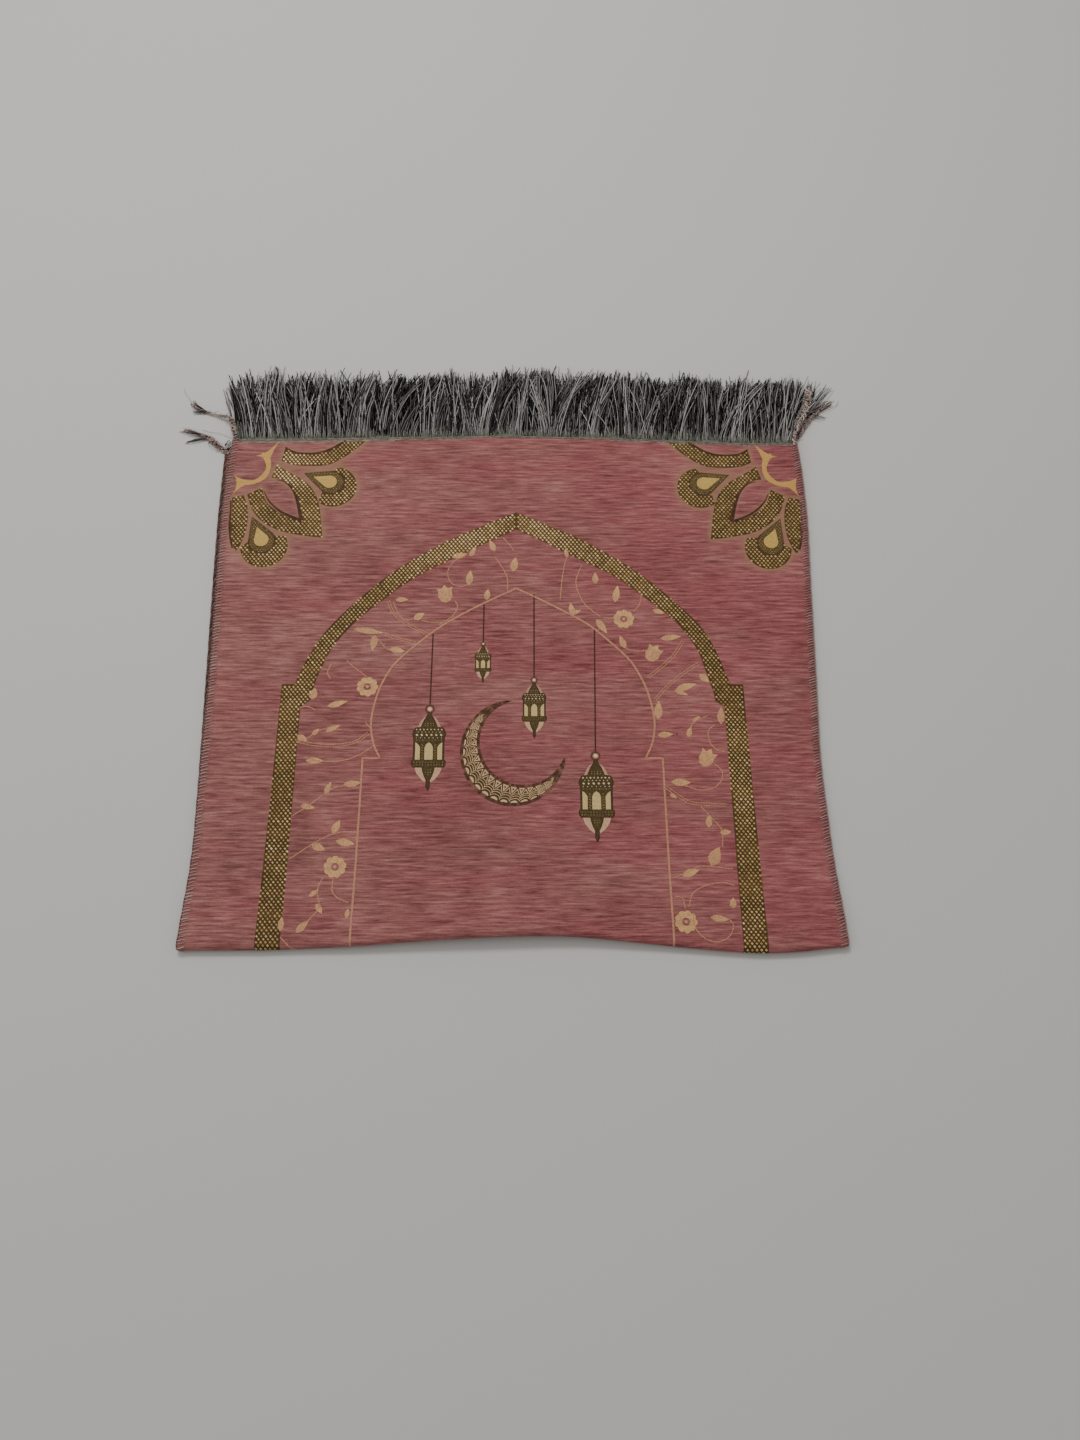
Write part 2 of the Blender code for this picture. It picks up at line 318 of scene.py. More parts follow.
    def place(self, x: Array, run: Array, out: Array) -> Array:
        """Give points that stand out from the middle surface on its face side, in metres in the row frame.

        Args:
            x: Cloth x of each point.
            run: Cloth run of each point.
            out: How far each point stands out from the middle surface.

        Returns:
            One row of x, y, z for each point, none below the floor.
        """
        x, run, out = (np.asarray(a, float) for a in np.broadcast_arrays(x, run, out))
        along = self.middle(x, run + 0.5) - self.middle(x, run - 0.5)
        sideways = self.middle(x + 0.5, run) - self.middle(x - 0.5, run)
        start, _, _ = self.turn(x)
        upper = 1 - ease((run - start - self.pucker_from) / self.pucker_ease)
        waves = np.sin(x * 0.131 + 1.7 * np.sin(run * 0.021)) * np.sin(run * 0.117 + 0.8 * np.sin(x * 0.034))
        waves += 0.6 * np.sin(x * 0.049 - run * 0.061 + 2.0)
        lifted = out + self.pucker * upper * waves
        points = self.middle(x, run) + unit(np.cross(sideways, along)) * lifted[..., None]
        points[..., 2] = np.maximum(points[..., 2], 0.0)
        return self.metres(points)

    def run_below(self, x: Array, y: Array) -> Array:
        """Give the run at which the lower layer lies at y."""
        start, radius, _ = self.turn(x)
        return start - math.pi * radius - (y - start)

    def sides(self, side: int) -> tuple[tuple, tuple]:
        """Give the tables of a long edge on the upper and the lower layer: side -1 is left, 1 is right."""
        if side < 0:
            return self.upper_left, self.lower_left
        return self.upper_right, self.lower_right

    def edge(self, side: int, run: Array) -> Array:
        """Give the x of a long edge at each run."""
        upper, lower = self.sides(side)
        run = np.asarray(run, float)
        start, radius, _ = self.turn(read(upper, run))
        behind = np.maximum(start - math.pi * radius - run, 0.0)
        return np.where(run >= start, read_smooth(upper, run), read_smooth(lower, start + behind))

    def end_run(self, x: Array, upper: bool) -> Array:
        """Give the run of the cloth's cut end at x, on the upper or the lower layer."""
        if upper:
            return read_smooth(self.upper_end, x)
        return self.run_below(x, read_smooth(self.lower_end, x))

    def column(self, share: float, rows: tuple[int, int, int]) -> Array:
        """Give the runs of one lengthwise line of the cloth, from the upper end to the lower end.

        Args:
            share: Its place across the cloth, from the left edge to the right.
            rows: How many faces it has along the upper layer, the turn and the lower layer.

        Returns:
            One run for each row of points.
        """
        ends = []
        for k in (0, 1):
            left, right = (read_smooth(self.sides(side)[k], 300) for side in (-1, 1))
            ends.append(float(self.end_run(left + (right - left) * share, k == 0)))
        top, bottom = ends
        start, radius, _ = (float(v) for v in self.turn(-330 + 660 * share))
        under = start - math.pi * radius
        upper, turn, lower = (np.arange(n) / n for n in rows)
        upper = top + (start - top) * (1 - (1 - upper) ** 1.25)
        lower = under + (bottom - under) * lower ** 1.2
        return np.concatenate([upper, start - math.pi * radius * turn, lower, [bottom]])


LAY = RugLay()


# ---------------------------------------------------------------- finishes


@dataclass(frozen=True)
class ChenilleFinish:
    """Polyester chenille weft, space dyed: short cut pile, no gloss, streaks that run along each pick."""

    name: str = "space_dyed_rose_chenille"
    # Darkest to palest: as dyed, and faded.
    warm: tuple = ("#5b2b2e", "#774041", "#8a4f4f", "#9b605f", "#ac7470")
    faded: tuple = ("#593131", "#744744", "#875652", "#996762", "#a97a73")
    haze: str = "#8f6c55"
    # Darker rose along the long edges: partly flattened pile, partly painted shade under and between the
    # overlock stitches.
    pressed_and_shaded: str = "#6b4540"
    fibre_glow: str = "#e0b8ae"
    # Each noise: its grain along and across the picks in millimetres, its detail and its roughness.
    noises: tuple = (
        ((30.0, 2.5), 2.5, 0.58), ((10.0, 1.3), 2.0, 0.6), ((140.0, 84.0), 2.0, 0.5), ((2.6, 1.5), 2.0, 0.6),
        ((11.0, 0.9), 1.5, 0.5), ((210.0, 60.0), 3.0, 0.6))
    # How much the fine streaks, the clouds and the fibre add to the long streaks.
    weights: tuple = (0.2, 0.35, 0.22)
    worn: float = -0.11
    pick_mm: float = 2.1
    fade_lean: float = 0.045

    def make(self) -> bpy.types.Material:
        """Build the material on the cloth's own UV map, in real millimetres."""
        material, shader = new_material(self.name, {
            "Roughness": 0.96, "Specular IOR Level": 0.2, "Sheen Weight": 0.22, "Sheen Roughness": 0.45,
            "Sheen Tint": linear(self.fibre_glow)})
        tree = material.node_tree
        uv = add_node(tree, "UVMap", {"uv_map": "cloth"}).outputs["UV"]
        grains = []
        for (long_mm, wide_mm), detail, rough in self.noises:
            scale = (UV_UNIT_MM / long_mm, UV_UNIT_MM / wide_mm, 1.0)
            mapped = add_node(tree, "Mapping", values={"Scale": scale}, links={"Vector": uv})
            values = {"Scale": 1.0, "Detail": detail, "Roughness": rough}
            noise = add_node(tree, "TexNoise", None, values, {"Vector": mapped.outputs["Vector"]})
            grains.append(noise.outputs["Fac"])
        total, *added, hatch, fade = grains
        for weight, grain in zip(self.weights, added):
            total = add_node(tree, *WEIGHED, {1: weight}, {0: grain, 2: total}).outputs[0]
        hatched = add_node(tree, *RANGE, {"From Min": 0.53, "From Max": 0.7}, {"Value": hatch})
        worn = add_node(tree, *WEIGHED, {1: self.worn}, {0: hatched.outputs["Result"], 2: total})
        level = add_node(tree, *RANGE, {"From Min": 0.59, "From Max": 1.16}, {"Value": worn.outputs[0]})
        warm, faded = (add_node(tree, "ValToRGB", links={"Fac": level.outputs["Result"]},
                                stops=tuple(zip((0.0, 0.25, 0.5, 0.75, 1.0), codes))).outputs["Color"]
                       for codes in (self.warm, self.faded))
        sideways = add_node(tree, "SeparateXYZ", links={"Vector": uv}).outputs["X"]
        leaned = add_node(tree, *WEIGHED, {1: -self.fade_lean}, {0: sideways, 2: fade})
        broad = add_node(tree, *RANGE, {"From Min": 0.36, "From Max": 0.64}, {"Value": leaned.outputs[0]})
        haze, press_and_shade = (add_node(tree, "Attribute", {"attribute_name": name}).outputs["Fac"]
                       for name in ("haze", "press_and_shade"))
        colour = add_node(tree, "Mix", {"data_type": "RGBA"}, None,
                          {0: broad.outputs["Result"], 6: warm, 7: faded}).outputs[2]
        # Then the darker rose along the long edges: flattened pile with painted shade under the stitches.
        for share, code in ((haze, self.haze), (press_and_shade, self.pressed_and_shaded)):
            colour = add_node(tree, "Mix", {"data_type": "RGBA"}, {7: linear(code)},
                              {0: share, 6: colour}).outputs[2]
        tree.links.new(colour, shader.inputs["Base Color"])
        mapped = add_node(
            tree, "Mapping", None, {"Scale": (0.35, UV_UNIT_MM / self.pick_mm, 1.0)}, {"Vector": uv})
        picks = add_node(
            tree, "TexWave", {"wave_type": "BANDS", "bands_direction": "Y"},
            {"Scale": 0.3183, "Distortion": 1.6, "Detail": 2.0, "Detail Scale": 2.5},
            {"Vector": mapped.outputs["Vector"]})
        height = add_node(tree, *WEIGHED, {1: 0.5}, {0: picks.outputs["Fac"], 2: total})
        bump = add_node(
            tree, "Bump", None, {"Strength": 0.35, "Distance": 0.0006}, {"Height": height.outputs[0]})
        tree.links.new(bump.outputs["Normal"], shader.inputs["Normal"])
        return material


@dataclass(frozen=True)
class ThreadFinish:
    """Dyed yarn or thread: each strand keeps the shade that its tone picks, with faint fibre marks."""

    name: str
    shades: tuple  # (tone, hex) stops
    roughness: float = 0.7
    sheen: float = 0.15
    fibre_mm: float = 1.2
    bump: float = 0.25
    contrast: float = 0.2
    specular: float = 0.3

    def make(self) -> bpy.types.Material:
        """Build the material: tone from the strand, fibre from Object coordinates in real millimetres."""
        material, shader = new_material(self.name, {
            "Roughness": self.roughness, "Specular IOR Level": self.specular, "Sheen Weight": self.sheen})
        tree = material.node_tree
        tone = add_node(tree, "Attribute", {"attribute_name": "tone"})
        colour = add_node(tree, "ValToRGB", links={"Fac": tone.outputs["Fac"]}, stops=self.shades)
        place = add_node(tree, "TexCoord")
        fibre = add_node(tree, "TexNoise", None, {"Scale": 1 / (self.fibre_mm * MM), "Detail": 2.0},
                         {"Vector": place.outputs["Object"]})
        reach = {"From Min": 0.3, "From Max": 0.7, "To Min": 1 - self.contrast, "To Max": 1 + self.contrast}
        shade = add_node(tree, *RANGE, reach, {"Value": fibre.outputs["Fac"]})
        mixed = add_node(tree, "VectorMath", {"operation": "SCALE"}, None,
                         {0: colour.outputs["Color"], "Scale": shade.outputs["Result"]})
        tree.links.new(mixed.outputs["Vector"], shader.inputs["Base Color"])
        bump = add_node(
            tree, "Bump", None, {"Strength": self.bump, "Distance": 0.0003}, {"Height": fibre.outputs["Fac"]})
        tree.links.new(bump.outputs["Normal"], shader.inputs["Normal"])
        return material


class Finish(Enum):
    """The yarns of the rug, each named for what it is."""

    CHENILLE = ChenilleFinish()
    # Flat-woven ground of the figured bands: dull brown viscose.
    OLIVE = ThreadFinish(
        "dull_brown_viscose_ground", ((0.0, "#392610"), (0.5, "#4c3418"), (1.0, "#644826")), 0.85, 0.0)
    # Gold floats of the figured bands: bright viscose, each float a little lighter or darker than the next.
    GOLD = ThreadFinish(
        "gold_viscose_floats", ((0.0, "#7d6832"), (0.35, "#998148"), (0.7, "#c2a567"), (1.0, "#e4cb95")),
        0.6, 0.0)
    # Leaves, flowers and thin lines: matte viscose, rose tan in the lines and old gold in the leaves.
    TAN = ThreadFinish(
        "tan_gold_viscose_figure", ((0.0, "#a8755e"), (0.35, "#af7f5a"), (0.7, "#b7885f"), (1.0, "#c49a60")),
        0.75, 0.1, 1.5, contrast=0.28)
    # Pale fills: viscose, rose in the bowls, old gold in the rosettes and cream in the panes.
    CREAM = ThreadFinish(
        "cream_viscose_figure", ((0.0, "#ab8369"), (0.1, "#c39f7b"), (0.2, "#a5865f"), (0.3, "#b78c48"),
        (0.6, "#b6944c"), (0.86, "#bea670"), (1.0, "#d5c29b")), 0.7, 0.1, 1.5)
    # Dark grounds of the lanterns, the crescent and the drops: olive-brown viscose.
    UMBER = ThreadFinish(
        "umber_viscose_ground", ((0.0, "#241808"), (0.5, "#41331a"), (1.0, "#67502e")), 0.85, 0.0, 1.6,
        contrast=0.5)
    # Outlines of the figures: russet-brown viscose.
    RUSSET = ThreadFinish(
        "russet_viscose_outline", ((0.0, "#33200f"), (0.5, "#4f3020"), (1.0, "#7c5645")), 0.85, 0.0, 1.6,
        contrast=0.4)
    # Fringe: straight polyester warp ends, black, mid grey and pale grey.
    FRINGE = ThreadFinish(
        "polyester_warp_fringe", ((0.0, "#040302"), (0.36, "#110f0f"), (0.5, "#3b3837"), (0.72, "#7b7775"),
        (1.0, "#b6b1ae")), 0.75, 0.0, specular=0.1)
    # Fringe heading: undyed and grey warp, greenish grey where it is beaten close.
    HEADING = ThreadFinish("warp_heading", ((0.0, "#2e312a"), (0.5, "#656a5d"), (1.0, "#a09e8f")), 0.8, 0.1)
    # Overlock: soft textured sewing thread in faded rose and beige, grey-brown where it is twisted; its
    # darker shades also stand for painted shade on stitches under the fold and along the edge.
    OVERLOCK = ThreadFinish(
        "textured_overlock_thread", ((0.0, "#221b17"), (0.3, "#57463d"), (0.5, "#855c56"), (0.65, "#9b7370"),
        (0.8, "#a38b83"), (1.0, "#c6b8ac")), 0.8, 0.1)


MADE: dict[Finish, bpy.types.Material] = {}


def material_of(finish: Finish) -> bpy.types.Material:
    """Give a finish's material, made once."""
    if finish not in MADE:
        MADE[finish] = finish.value.make()
    return MADE[finish]


# ---------------------------------------------------------------- builders

REACH_MM = 8.0  # longest edge of a woven figure, so that it follows the cloth
# Heights out from the cloth's middle: a figure's buried underside, a float's foot, the top of a figure's
# ground just proud of the cloth's face, and the top of the floats and lines above it.
BURIED, SUNK, FLUSH, PROUD = 0.9, 1.22, 1.42, 1.62
FLOAT_TOP = 0.72  # how wide the top of a float is beside its foot


class FlatWork:
    """Gathers closed flat shapes, drawn in cloth millimetres, for one woven piece."""

    def __init__(self, seed: int) -> None:
        """Start empty, with its own dice."""
        self.points: list[Array] = []
        self.faces: list[tuple[int, ...]] = []
        self.tones: list[Array] = []
        self.count = 0
        self.dice = np.random.default_rng(seed)

    def take(self, points: Array, faces: list[tuple[int, ...]], tone: float | Array) -> None:
        """Add a closed shape: its points as x, run, out, and faces that count from 0."""
        self.points.append(points)
        self.faces += [tuple(i + self.count for i in face) for face in faces]
        self.tones.append(np.broadcast_to(np.asarray(tone, float), (len(points),)))
        self.count += len(points)

    def strip(self, left: Array, right: Array, high: float, tone: float | Array = 0.5, ring: bool = False,
              low: float = BURIED) -> None:
        """Add a band between two lines of as many points.

        Args:
            left: One side's points.
            right: The other side's points.
            high: Height of its top out from the cloth's middle.
            tone: Shade of its yarn, for all or for each point along it.
            ring: Whether it closes on itself.
            low: Height of its underside.
        """
        n = len(left)
        points = np.empty((n, 4, 3))
        points[:, 0, :2] = points[:, 3, :2] = left
        points[:, 1, :2] = points[:, 2, :2] = right
        points[:, :2, 2], points[:, 2:, 2] = low, high
        faces = []
        for i in range(n if ring else n - 1):
            j = (i + 1) % n
            faces += [(4 * i + k, 4 * i + (k + 1) % 4, 4 * j + (k + 1) % 4, 4 * j + k) for k in range(4)]
        if not ring:
            faces += [(0, 3, 2, 1), (4 * n - 4, 4 * n - 3, 4 * n - 2, 4 * n - 1)]
        self.take(points.reshape(-1, 3), faces, np.repeat(np.broadcast_to(np.asarray(tone, float), (n,)), 4))

    def ribbon(self, line: Array, width: float | Array, high: float, tone: float | Array = 0.5,
               ring: bool = False) -> None:
        """Add a band of a given width about a line."""
        line = np.asarray(line, float)
        along = np.roll(line, -1, axis=0) - np.roll(line, 1, axis=0) if ring else np.gradient(line, axis=0)
        beside = left_of(unit(along)) * np.broadcast_to(np.asarray(width, float) / 2, (len(line),))[:, None]
        self.strip(line + beside, line - beside, high, tone, ring)

    def patch(self, outline: Array, high: float, tone: float | Array = 0.5, holes: tuple = ()) -> None:
        """Add a filled shape, with or without holes, of one tone or of one for each point of its outline."""
        loops = [np.asarray(loop, float) for loop in (outline, *holes)]
        flat = np.vstack(loops)
        n = len(flat)
        triangles = tessellate_polygon([[Vector((x, y, 0.0)) for x, y in loop] for loop in loops])
        points = np.empty((2 * n, 3))
        points[:n, :2] = points[n:, :2] = flat
        points[:n, 2], points[n:, 2] = BURIED, high
        faces = [tuple(t) for t in triangles] + [(c + n, b + n, a + n) for a, b, c in triangles]
        first = 0
        for loop in loops:
            for i in range(len(loop)):
                j = (i + 1) % len(loop)
                faces.append((first + i, first + j, first + j + n, first + i + n))
            first += len(loop)
        self.take(points, faces, np.tile(tone, 2) if np.ndim(tone) else tone)

    def floats(self, centres: Array, half: tuple[float, float], high: float, tones: Array) -> None:
        """Add small raised lozenges, one at each centre: the yarn floats of a figured weave."""
        corners = np.array([(1, -0.1), (-0.12, 1), (-1, 0.1), (0.12, -1)], float)
        quad = np.array([(0, 1, 5, 4), (1, 2, 6, 5), (2, 3, 7, 6), (3, 0, 4, 7), (3, 2, 1, 0), (4, 5, 6, 7)])
        size = np.asarray(half) * self.dice.uniform(0.86, 1.12, (len(centres), 1))
        rings = []
        for scale, out in ((1.0, SUNK), (FLOAT_TOP, high)):
            ring = centres[:, None, :] + corners[None] * size[:, None, :] * scale
            rings.append(np.concatenate([ring, np.full((len(centres), 4, 1), out)], axis=2))
        faces = (quad[None] + 8 * np.arange(len(centres))[:, None, None]).reshape(-1, 4)
        self.take(np.concatenate(rings, axis=1).reshape(-1, 3), [tuple(f) for f in faces.tolist()],
                  np.repeat(tones, 8))


def read_points(mesh: bpy.types.Mesh) -> Array:
    """Give a mesh's points, one row each."""
    flat = np.empty(len(mesh.vertices) * 3)
    mesh.vertices.foreach_get("co", flat)
    return flat.reshape(-1, 3)


def set_shade(mesh: bpy.types.Mesh, name: str, values: Array) -> None:
    """Give each point of a mesh its value of a named attribute."""
    attribute = mesh.attributes.new(name, "FLOAT", "POINT")
    attribute.data.foreach_set("value", np.ascontiguousarray(values, np.float32))


def turn_out(mesh: bpy.types.Mesh, reach: float = 0.0) -> None:
    """Turn a mesh's faces out, and cut each edge that is longer than a reach, if one is given."""
    work = bmesh.new()
    work.from_mesh(mesh)
    bmesh.ops.recalc_face_normals(work, faces=work.faces)
    while reach:
        long_edges = [edge for edge in work.edges if edge.calc_length() > reach]
        if not long_edges:
            break
        bmesh.ops.subdivide_edges(work, edges=long_edges, cuts=1)
        bmesh.ops.triangulate(work, faces=[face for face in work.faces if len(face.verts) > 4])
    work.to_mesh(mesh)
    work.free()


def make_mesh(name: str, points: Array, faces: list, tones: Array, finish: Finish, smooth: bool,
              reach: float = 0.0) -> Piece:
    """Make a mesh object, faces out, with its tone attribute and finish.

    Args:
        name: The piece's name.
        points: One row of three for each point.
        faces: Point numbers of each face.
        tones: Shade of the yarn at each point.
        finish: What it is made of.
        smooth: Whether its faces shade as one round surface.
        reach: Longest edge that is left uncut, or 0 to cut none.

    Returns:
        The new object.
    """
    mesh = bpy.data.meshes.new(name)
    mesh.from_pydata(points.tolist(), [], faces)
    set_shade(mesh, "tone", tones)
    turn_out(mesh, reach)
    mesh.polygons.foreach_set("use_smooth", np.full(len(mesh.polygons), smooth))
    mesh.materials.append(material_of(finish))
    thing = bpy.data.objects.new(name, mesh)
    bpy.context.scene.collection.objects.link(thing)
    return thing


def finish_piece(thing: Piece, replaced: tuple[str, ...] = ()) -> Piece:
    """Tie a finished piece to the frame and what it stands for, and log it."""
    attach(thing, "root")
    if replaced:
        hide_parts(*replaced)
    LOG.info("%s: %d faces", thing.name, len(thing.data.polygons))
    return thing


def lay_down(name: str, work: FlatWork, finish: Finish) -> Piece:
    """Cut flat work into small faces, carry it onto the folded cloth and make it one piece."""
    points, tones = np.vstack(work.points), np.concatenate(work.tones)
    thing = make_mesh(name, points, work.faces, tones, finish, smooth=False, reach=REACH_MM)
    thing.data.vertices.foreach_set("co", LAY.place(*read_points(thing.data).T).ravel())
    return finish_piece(thing)


@dataclass
class StrandWork:
    """Gathers round strands into one piece."""

    points: list = field(default_factory=list)
    faces: list = field(default_factory=list)
    tones: list = field(default_factory=list)
    count: int = 0

    def spin(self, paths: Array, radii: Array | float, sides: int, tones: Array | float,
             reference: tuple = (0.0, 0.0, 1.0)) -> None:
        """Add strands of as many points each.

        Args:
            paths: Strand, point and x, y, z in metres.
            radii: Radius in metres: one for all, one for each strand, or one for each of its points.
            sides: Sides of a strand's section.
            tones: One shade for all, for each strand, or for each of its points.
            reference: A direction across the strands that none runs along.
        """
        n, p, _ = paths.shape
        along = unit(np.gradient(paths, axis=1))
        side = unit(np.cross(along, np.array(reference)))
        over = np.cross(side, along)
        radii, tones = (np.broadcast_to(each if np.ndim(each) == 2 else np.reshape(each, (-1, 1)), (n, p))
                        for each in (radii, tones))
        turn = 2 * math.pi * np.arange(sides) / sides
        ring = (side[:, :, None] * np.cos(turn)[:, None] + over[:, :, None] * np.sin(turn)[:, None])
        solid = paths[:, :, None] + ring * radii[:, :, None, None]
        index = self.count + np.arange(n * p * sides).reshape(n, p, sides)
        nxt = np.roll(index, -1, axis=2)
        quads = joined(index[:, :-1], nxt[:, :-1], nxt[:, 1:], index[:, 1:]).reshape(-1, 4)
        self.points.append(solid.reshape(-1, 3))
        self.faces += quads.tolist() + index[:, 0, ::-1].tolist() + index[:, -1].tolist()
        self.tones.append(np.repeat(tones, sides))
        self.count += n * p * sides

    def make(self, name: str, finish: Finish) -> Piece:
        """Make the piece."""
        return make_mesh(name, np.vstack(self.points), self.faces, np.concatenate(self.tones), finish, True)


# ---------------------------------------------------------------- the cloth


@dataclass
class ChenilleCloth:
    """The one cut length of cloth: face out, folded once, its long edges squeezed thinner by their thread."""

    columns: int = 132
    rows: tuple = (150, 22, 74)  # along the upper layer, the turn and the lower layer
    edge_press_mm: float = 0.45
    edge_reach_mm: float = 6.0
    flat_size_m: tuple = (0.663, 1.192)
    haze_most: float = 0.9
    haze_reach_mm: float = 7.5
    haze_corner: tuple = (160, 110)  # the gold weft shows through only past these x and run
    # How much darker the ground grows near the long edges, and over what reach: flattened pile with painted
    # shade under the stitches.
    press_and_shade_dark: float = 0.3
    press_and_shade_reach_mm: float = 9.0
    back_shift_mm: float = 7.0  # keeps the back's pattern off the face's

    def haze(self, points: Array, outlines: list[Array]) -> Array:
        """Say how far the gold weft shows at each point, by its distance from some outlines."""
        edge = np.vstack([evenly(np.vstack([outline, outline[:1]]), 2.5) for outline in outlines])
        found = np.zeros(len(points))
        box = (np.abs(points[:, 0]) > self.haze_corner[0]) & (points[:, 1] > self.haze_corner[1])
        away = np.array([np.min(np.hypot(edge[:, 0] - x, edge[:, 1] - y)) for x, y in points[box]])
        found[box] = self.haze_most * ease(away / self.haze_reach_mm)
        return found

    def build(self, outlines: list[Array]) -> Piece:
        """Extrude a grid into a slab and lay it through both layers and the turn.

        Args:
            outlines: Figures whose gold weft shows faintly through the ground round them.

        Returns:
            The cloth.
        """
        bpy.ops.object.select_all(action="DESELECT")
        count = sum(self.rows)
        bpy.ops.mesh.primitive_grid_add(x_subdivisions=self.columns, y_subdivisions=count, size=2.0)
        cloth = bpy.context.object
        mesh = cloth.data
        cloth.name = mesh.name = "chenille_cloth"
        bpy.ops.object.mode_set(mode="EDIT")
        bpy.ops.mesh.select_all(action="SELECT")
        bpy.ops.mesh.extrude_region_move(TRANSFORM_OT_translate={"value": (0.0, 0.0, 1.0)})
        bpy.ops.object.mode_set(mode="OBJECT")
        flat = read_points(mesh)
        column = np.rint((flat[:, 0] + 1) / 2 * self.columns).astype(int)
        row = np.rint((1 - flat[:, 1]) / 2 * count).astype(int)
        face = flat[:, 2] > 0.5
        runs = np.array([LAY.column(c / self.columns, self.rows) for c in range(self.columns + 1)])
        run = runs[column, row]
        left, right = LAY.edge(-1, run), LAY.edge(1, run)
        x = left + (right - left) * column / self.columns
        near = np.minimum(x - left, right - x)
        half = LAY.thick / 2 - self.edge_press_mm * np.exp(-((near / self.edge_reach_mm) ** 2))
        half = np.where(run < LAY.turn(x)[0], LAY.thick / 2, half)
        mesh.vertices.foreach_set("co", LAY.place(x, run, np.where(face, half, -half)).ravel())
        turn_out(mesh)
        while mesh.uv_layers:
            mesh.uv_layers.remove(mesh.uv_layers[0])
        layer = mesh.uv_layers.new(name="cloth")
        corners = np.empty(len(mesh.loops), int)
        mesh.loops.foreach_get("vertex_index", corners)
        uvs = joined(x, run + self.back_shift_mm * ~face)[corners] / UV_UNIT_MM
        layer.data.foreach_set("uv", uvs.ravel())
        # Painted shade under the overlock stitches, with the flattened pile, darkens the ground near the long
        # edges.
        set_shade(mesh, "press_and_shade", self.press_and_shade_dark * ease(near / self.press_and_shade_reach_mm))
        set_shade(mesh, "haze", self.haze(joined(x, run), outlines))
        mesh.polygons.foreach_set("use_smooth", np.ones(len(mesh.polygons), bool))
        mesh.materials.clear()
        mesh.materials.append(material_of(Finish.CHENILLE))
        return cloth


# ---------------------------------------------------------------- woven figures

# How far the right half of the figure sits from the left half's mirror image, by run.
LEAN = ((0, -6), (60, 0))
# Where a line down the cloth starts and ends its turn, and where it ends.
FOLD_RUNS = (-276.0, -330.0, -700.0)


def across(points: Points | Array) -> Array:
    """Carry points of the figure's left half to its right half."""
    pts = np.array(points, float)
    pts[:, 0] = read(LEAN, pts[:, 1]) - pts[:, 0]
    return pts


def down_the_fold(top: float) -> Array:
    """Give the runs of a line from the upper layer round the fold to the underside, close on the turn."""
    first, last, end = FOLD_RUNS
    upper, turn = np.arange(top, first, -5.0), np.arange(first, last, -1.5)
    return np.concatenate([upper, turn, np.arange(last, end, -12.0)])


def diagonal_grid(outlines: list[Array], pitch: tuple[float, float], margin: float,
                  shift: float = 0.0) -> Array:
    """Give the float centres of a diagonal weave that lie well inside any of some outlines.

    Args:
        outlines: Closed outlines.
        pitch: Spacing across and along the cloth; every other row sits half a pitch aside.
        margin: How far inside an outline a centre has to lie.
        shift: How far aside the whole grid is moved.

    Returns:
        The centres, one row each.
    """
    every = np.vstack(outlines)
    low, high = np.floor(every.min(axis=0) / pitch), np.ceil(every.max(axis=0) / pitch) + 1
    columns, rows = (np.arange(low[k], high[k]) for k in (0, 1))
    grid_x, grid_y = np.meshgrid(columns * pitch[0] + shift, rows * pitch[1])
    grid_x = grid_x + (rows[:, None] % 2) * pitch[0] / 2
    grid = joined(grid_x.ravel(), grid_y.ravel())
    found = np.zeros(len(grid), bool)
    for outline in outlines:
        box = np.all((grid >= outline.min(axis=0)) & (grid <= outline.max(axis=0)), axis=1) & ~found
        found[box] = inside(grid[box], shrunk(outline, margin))
    return grid[found]


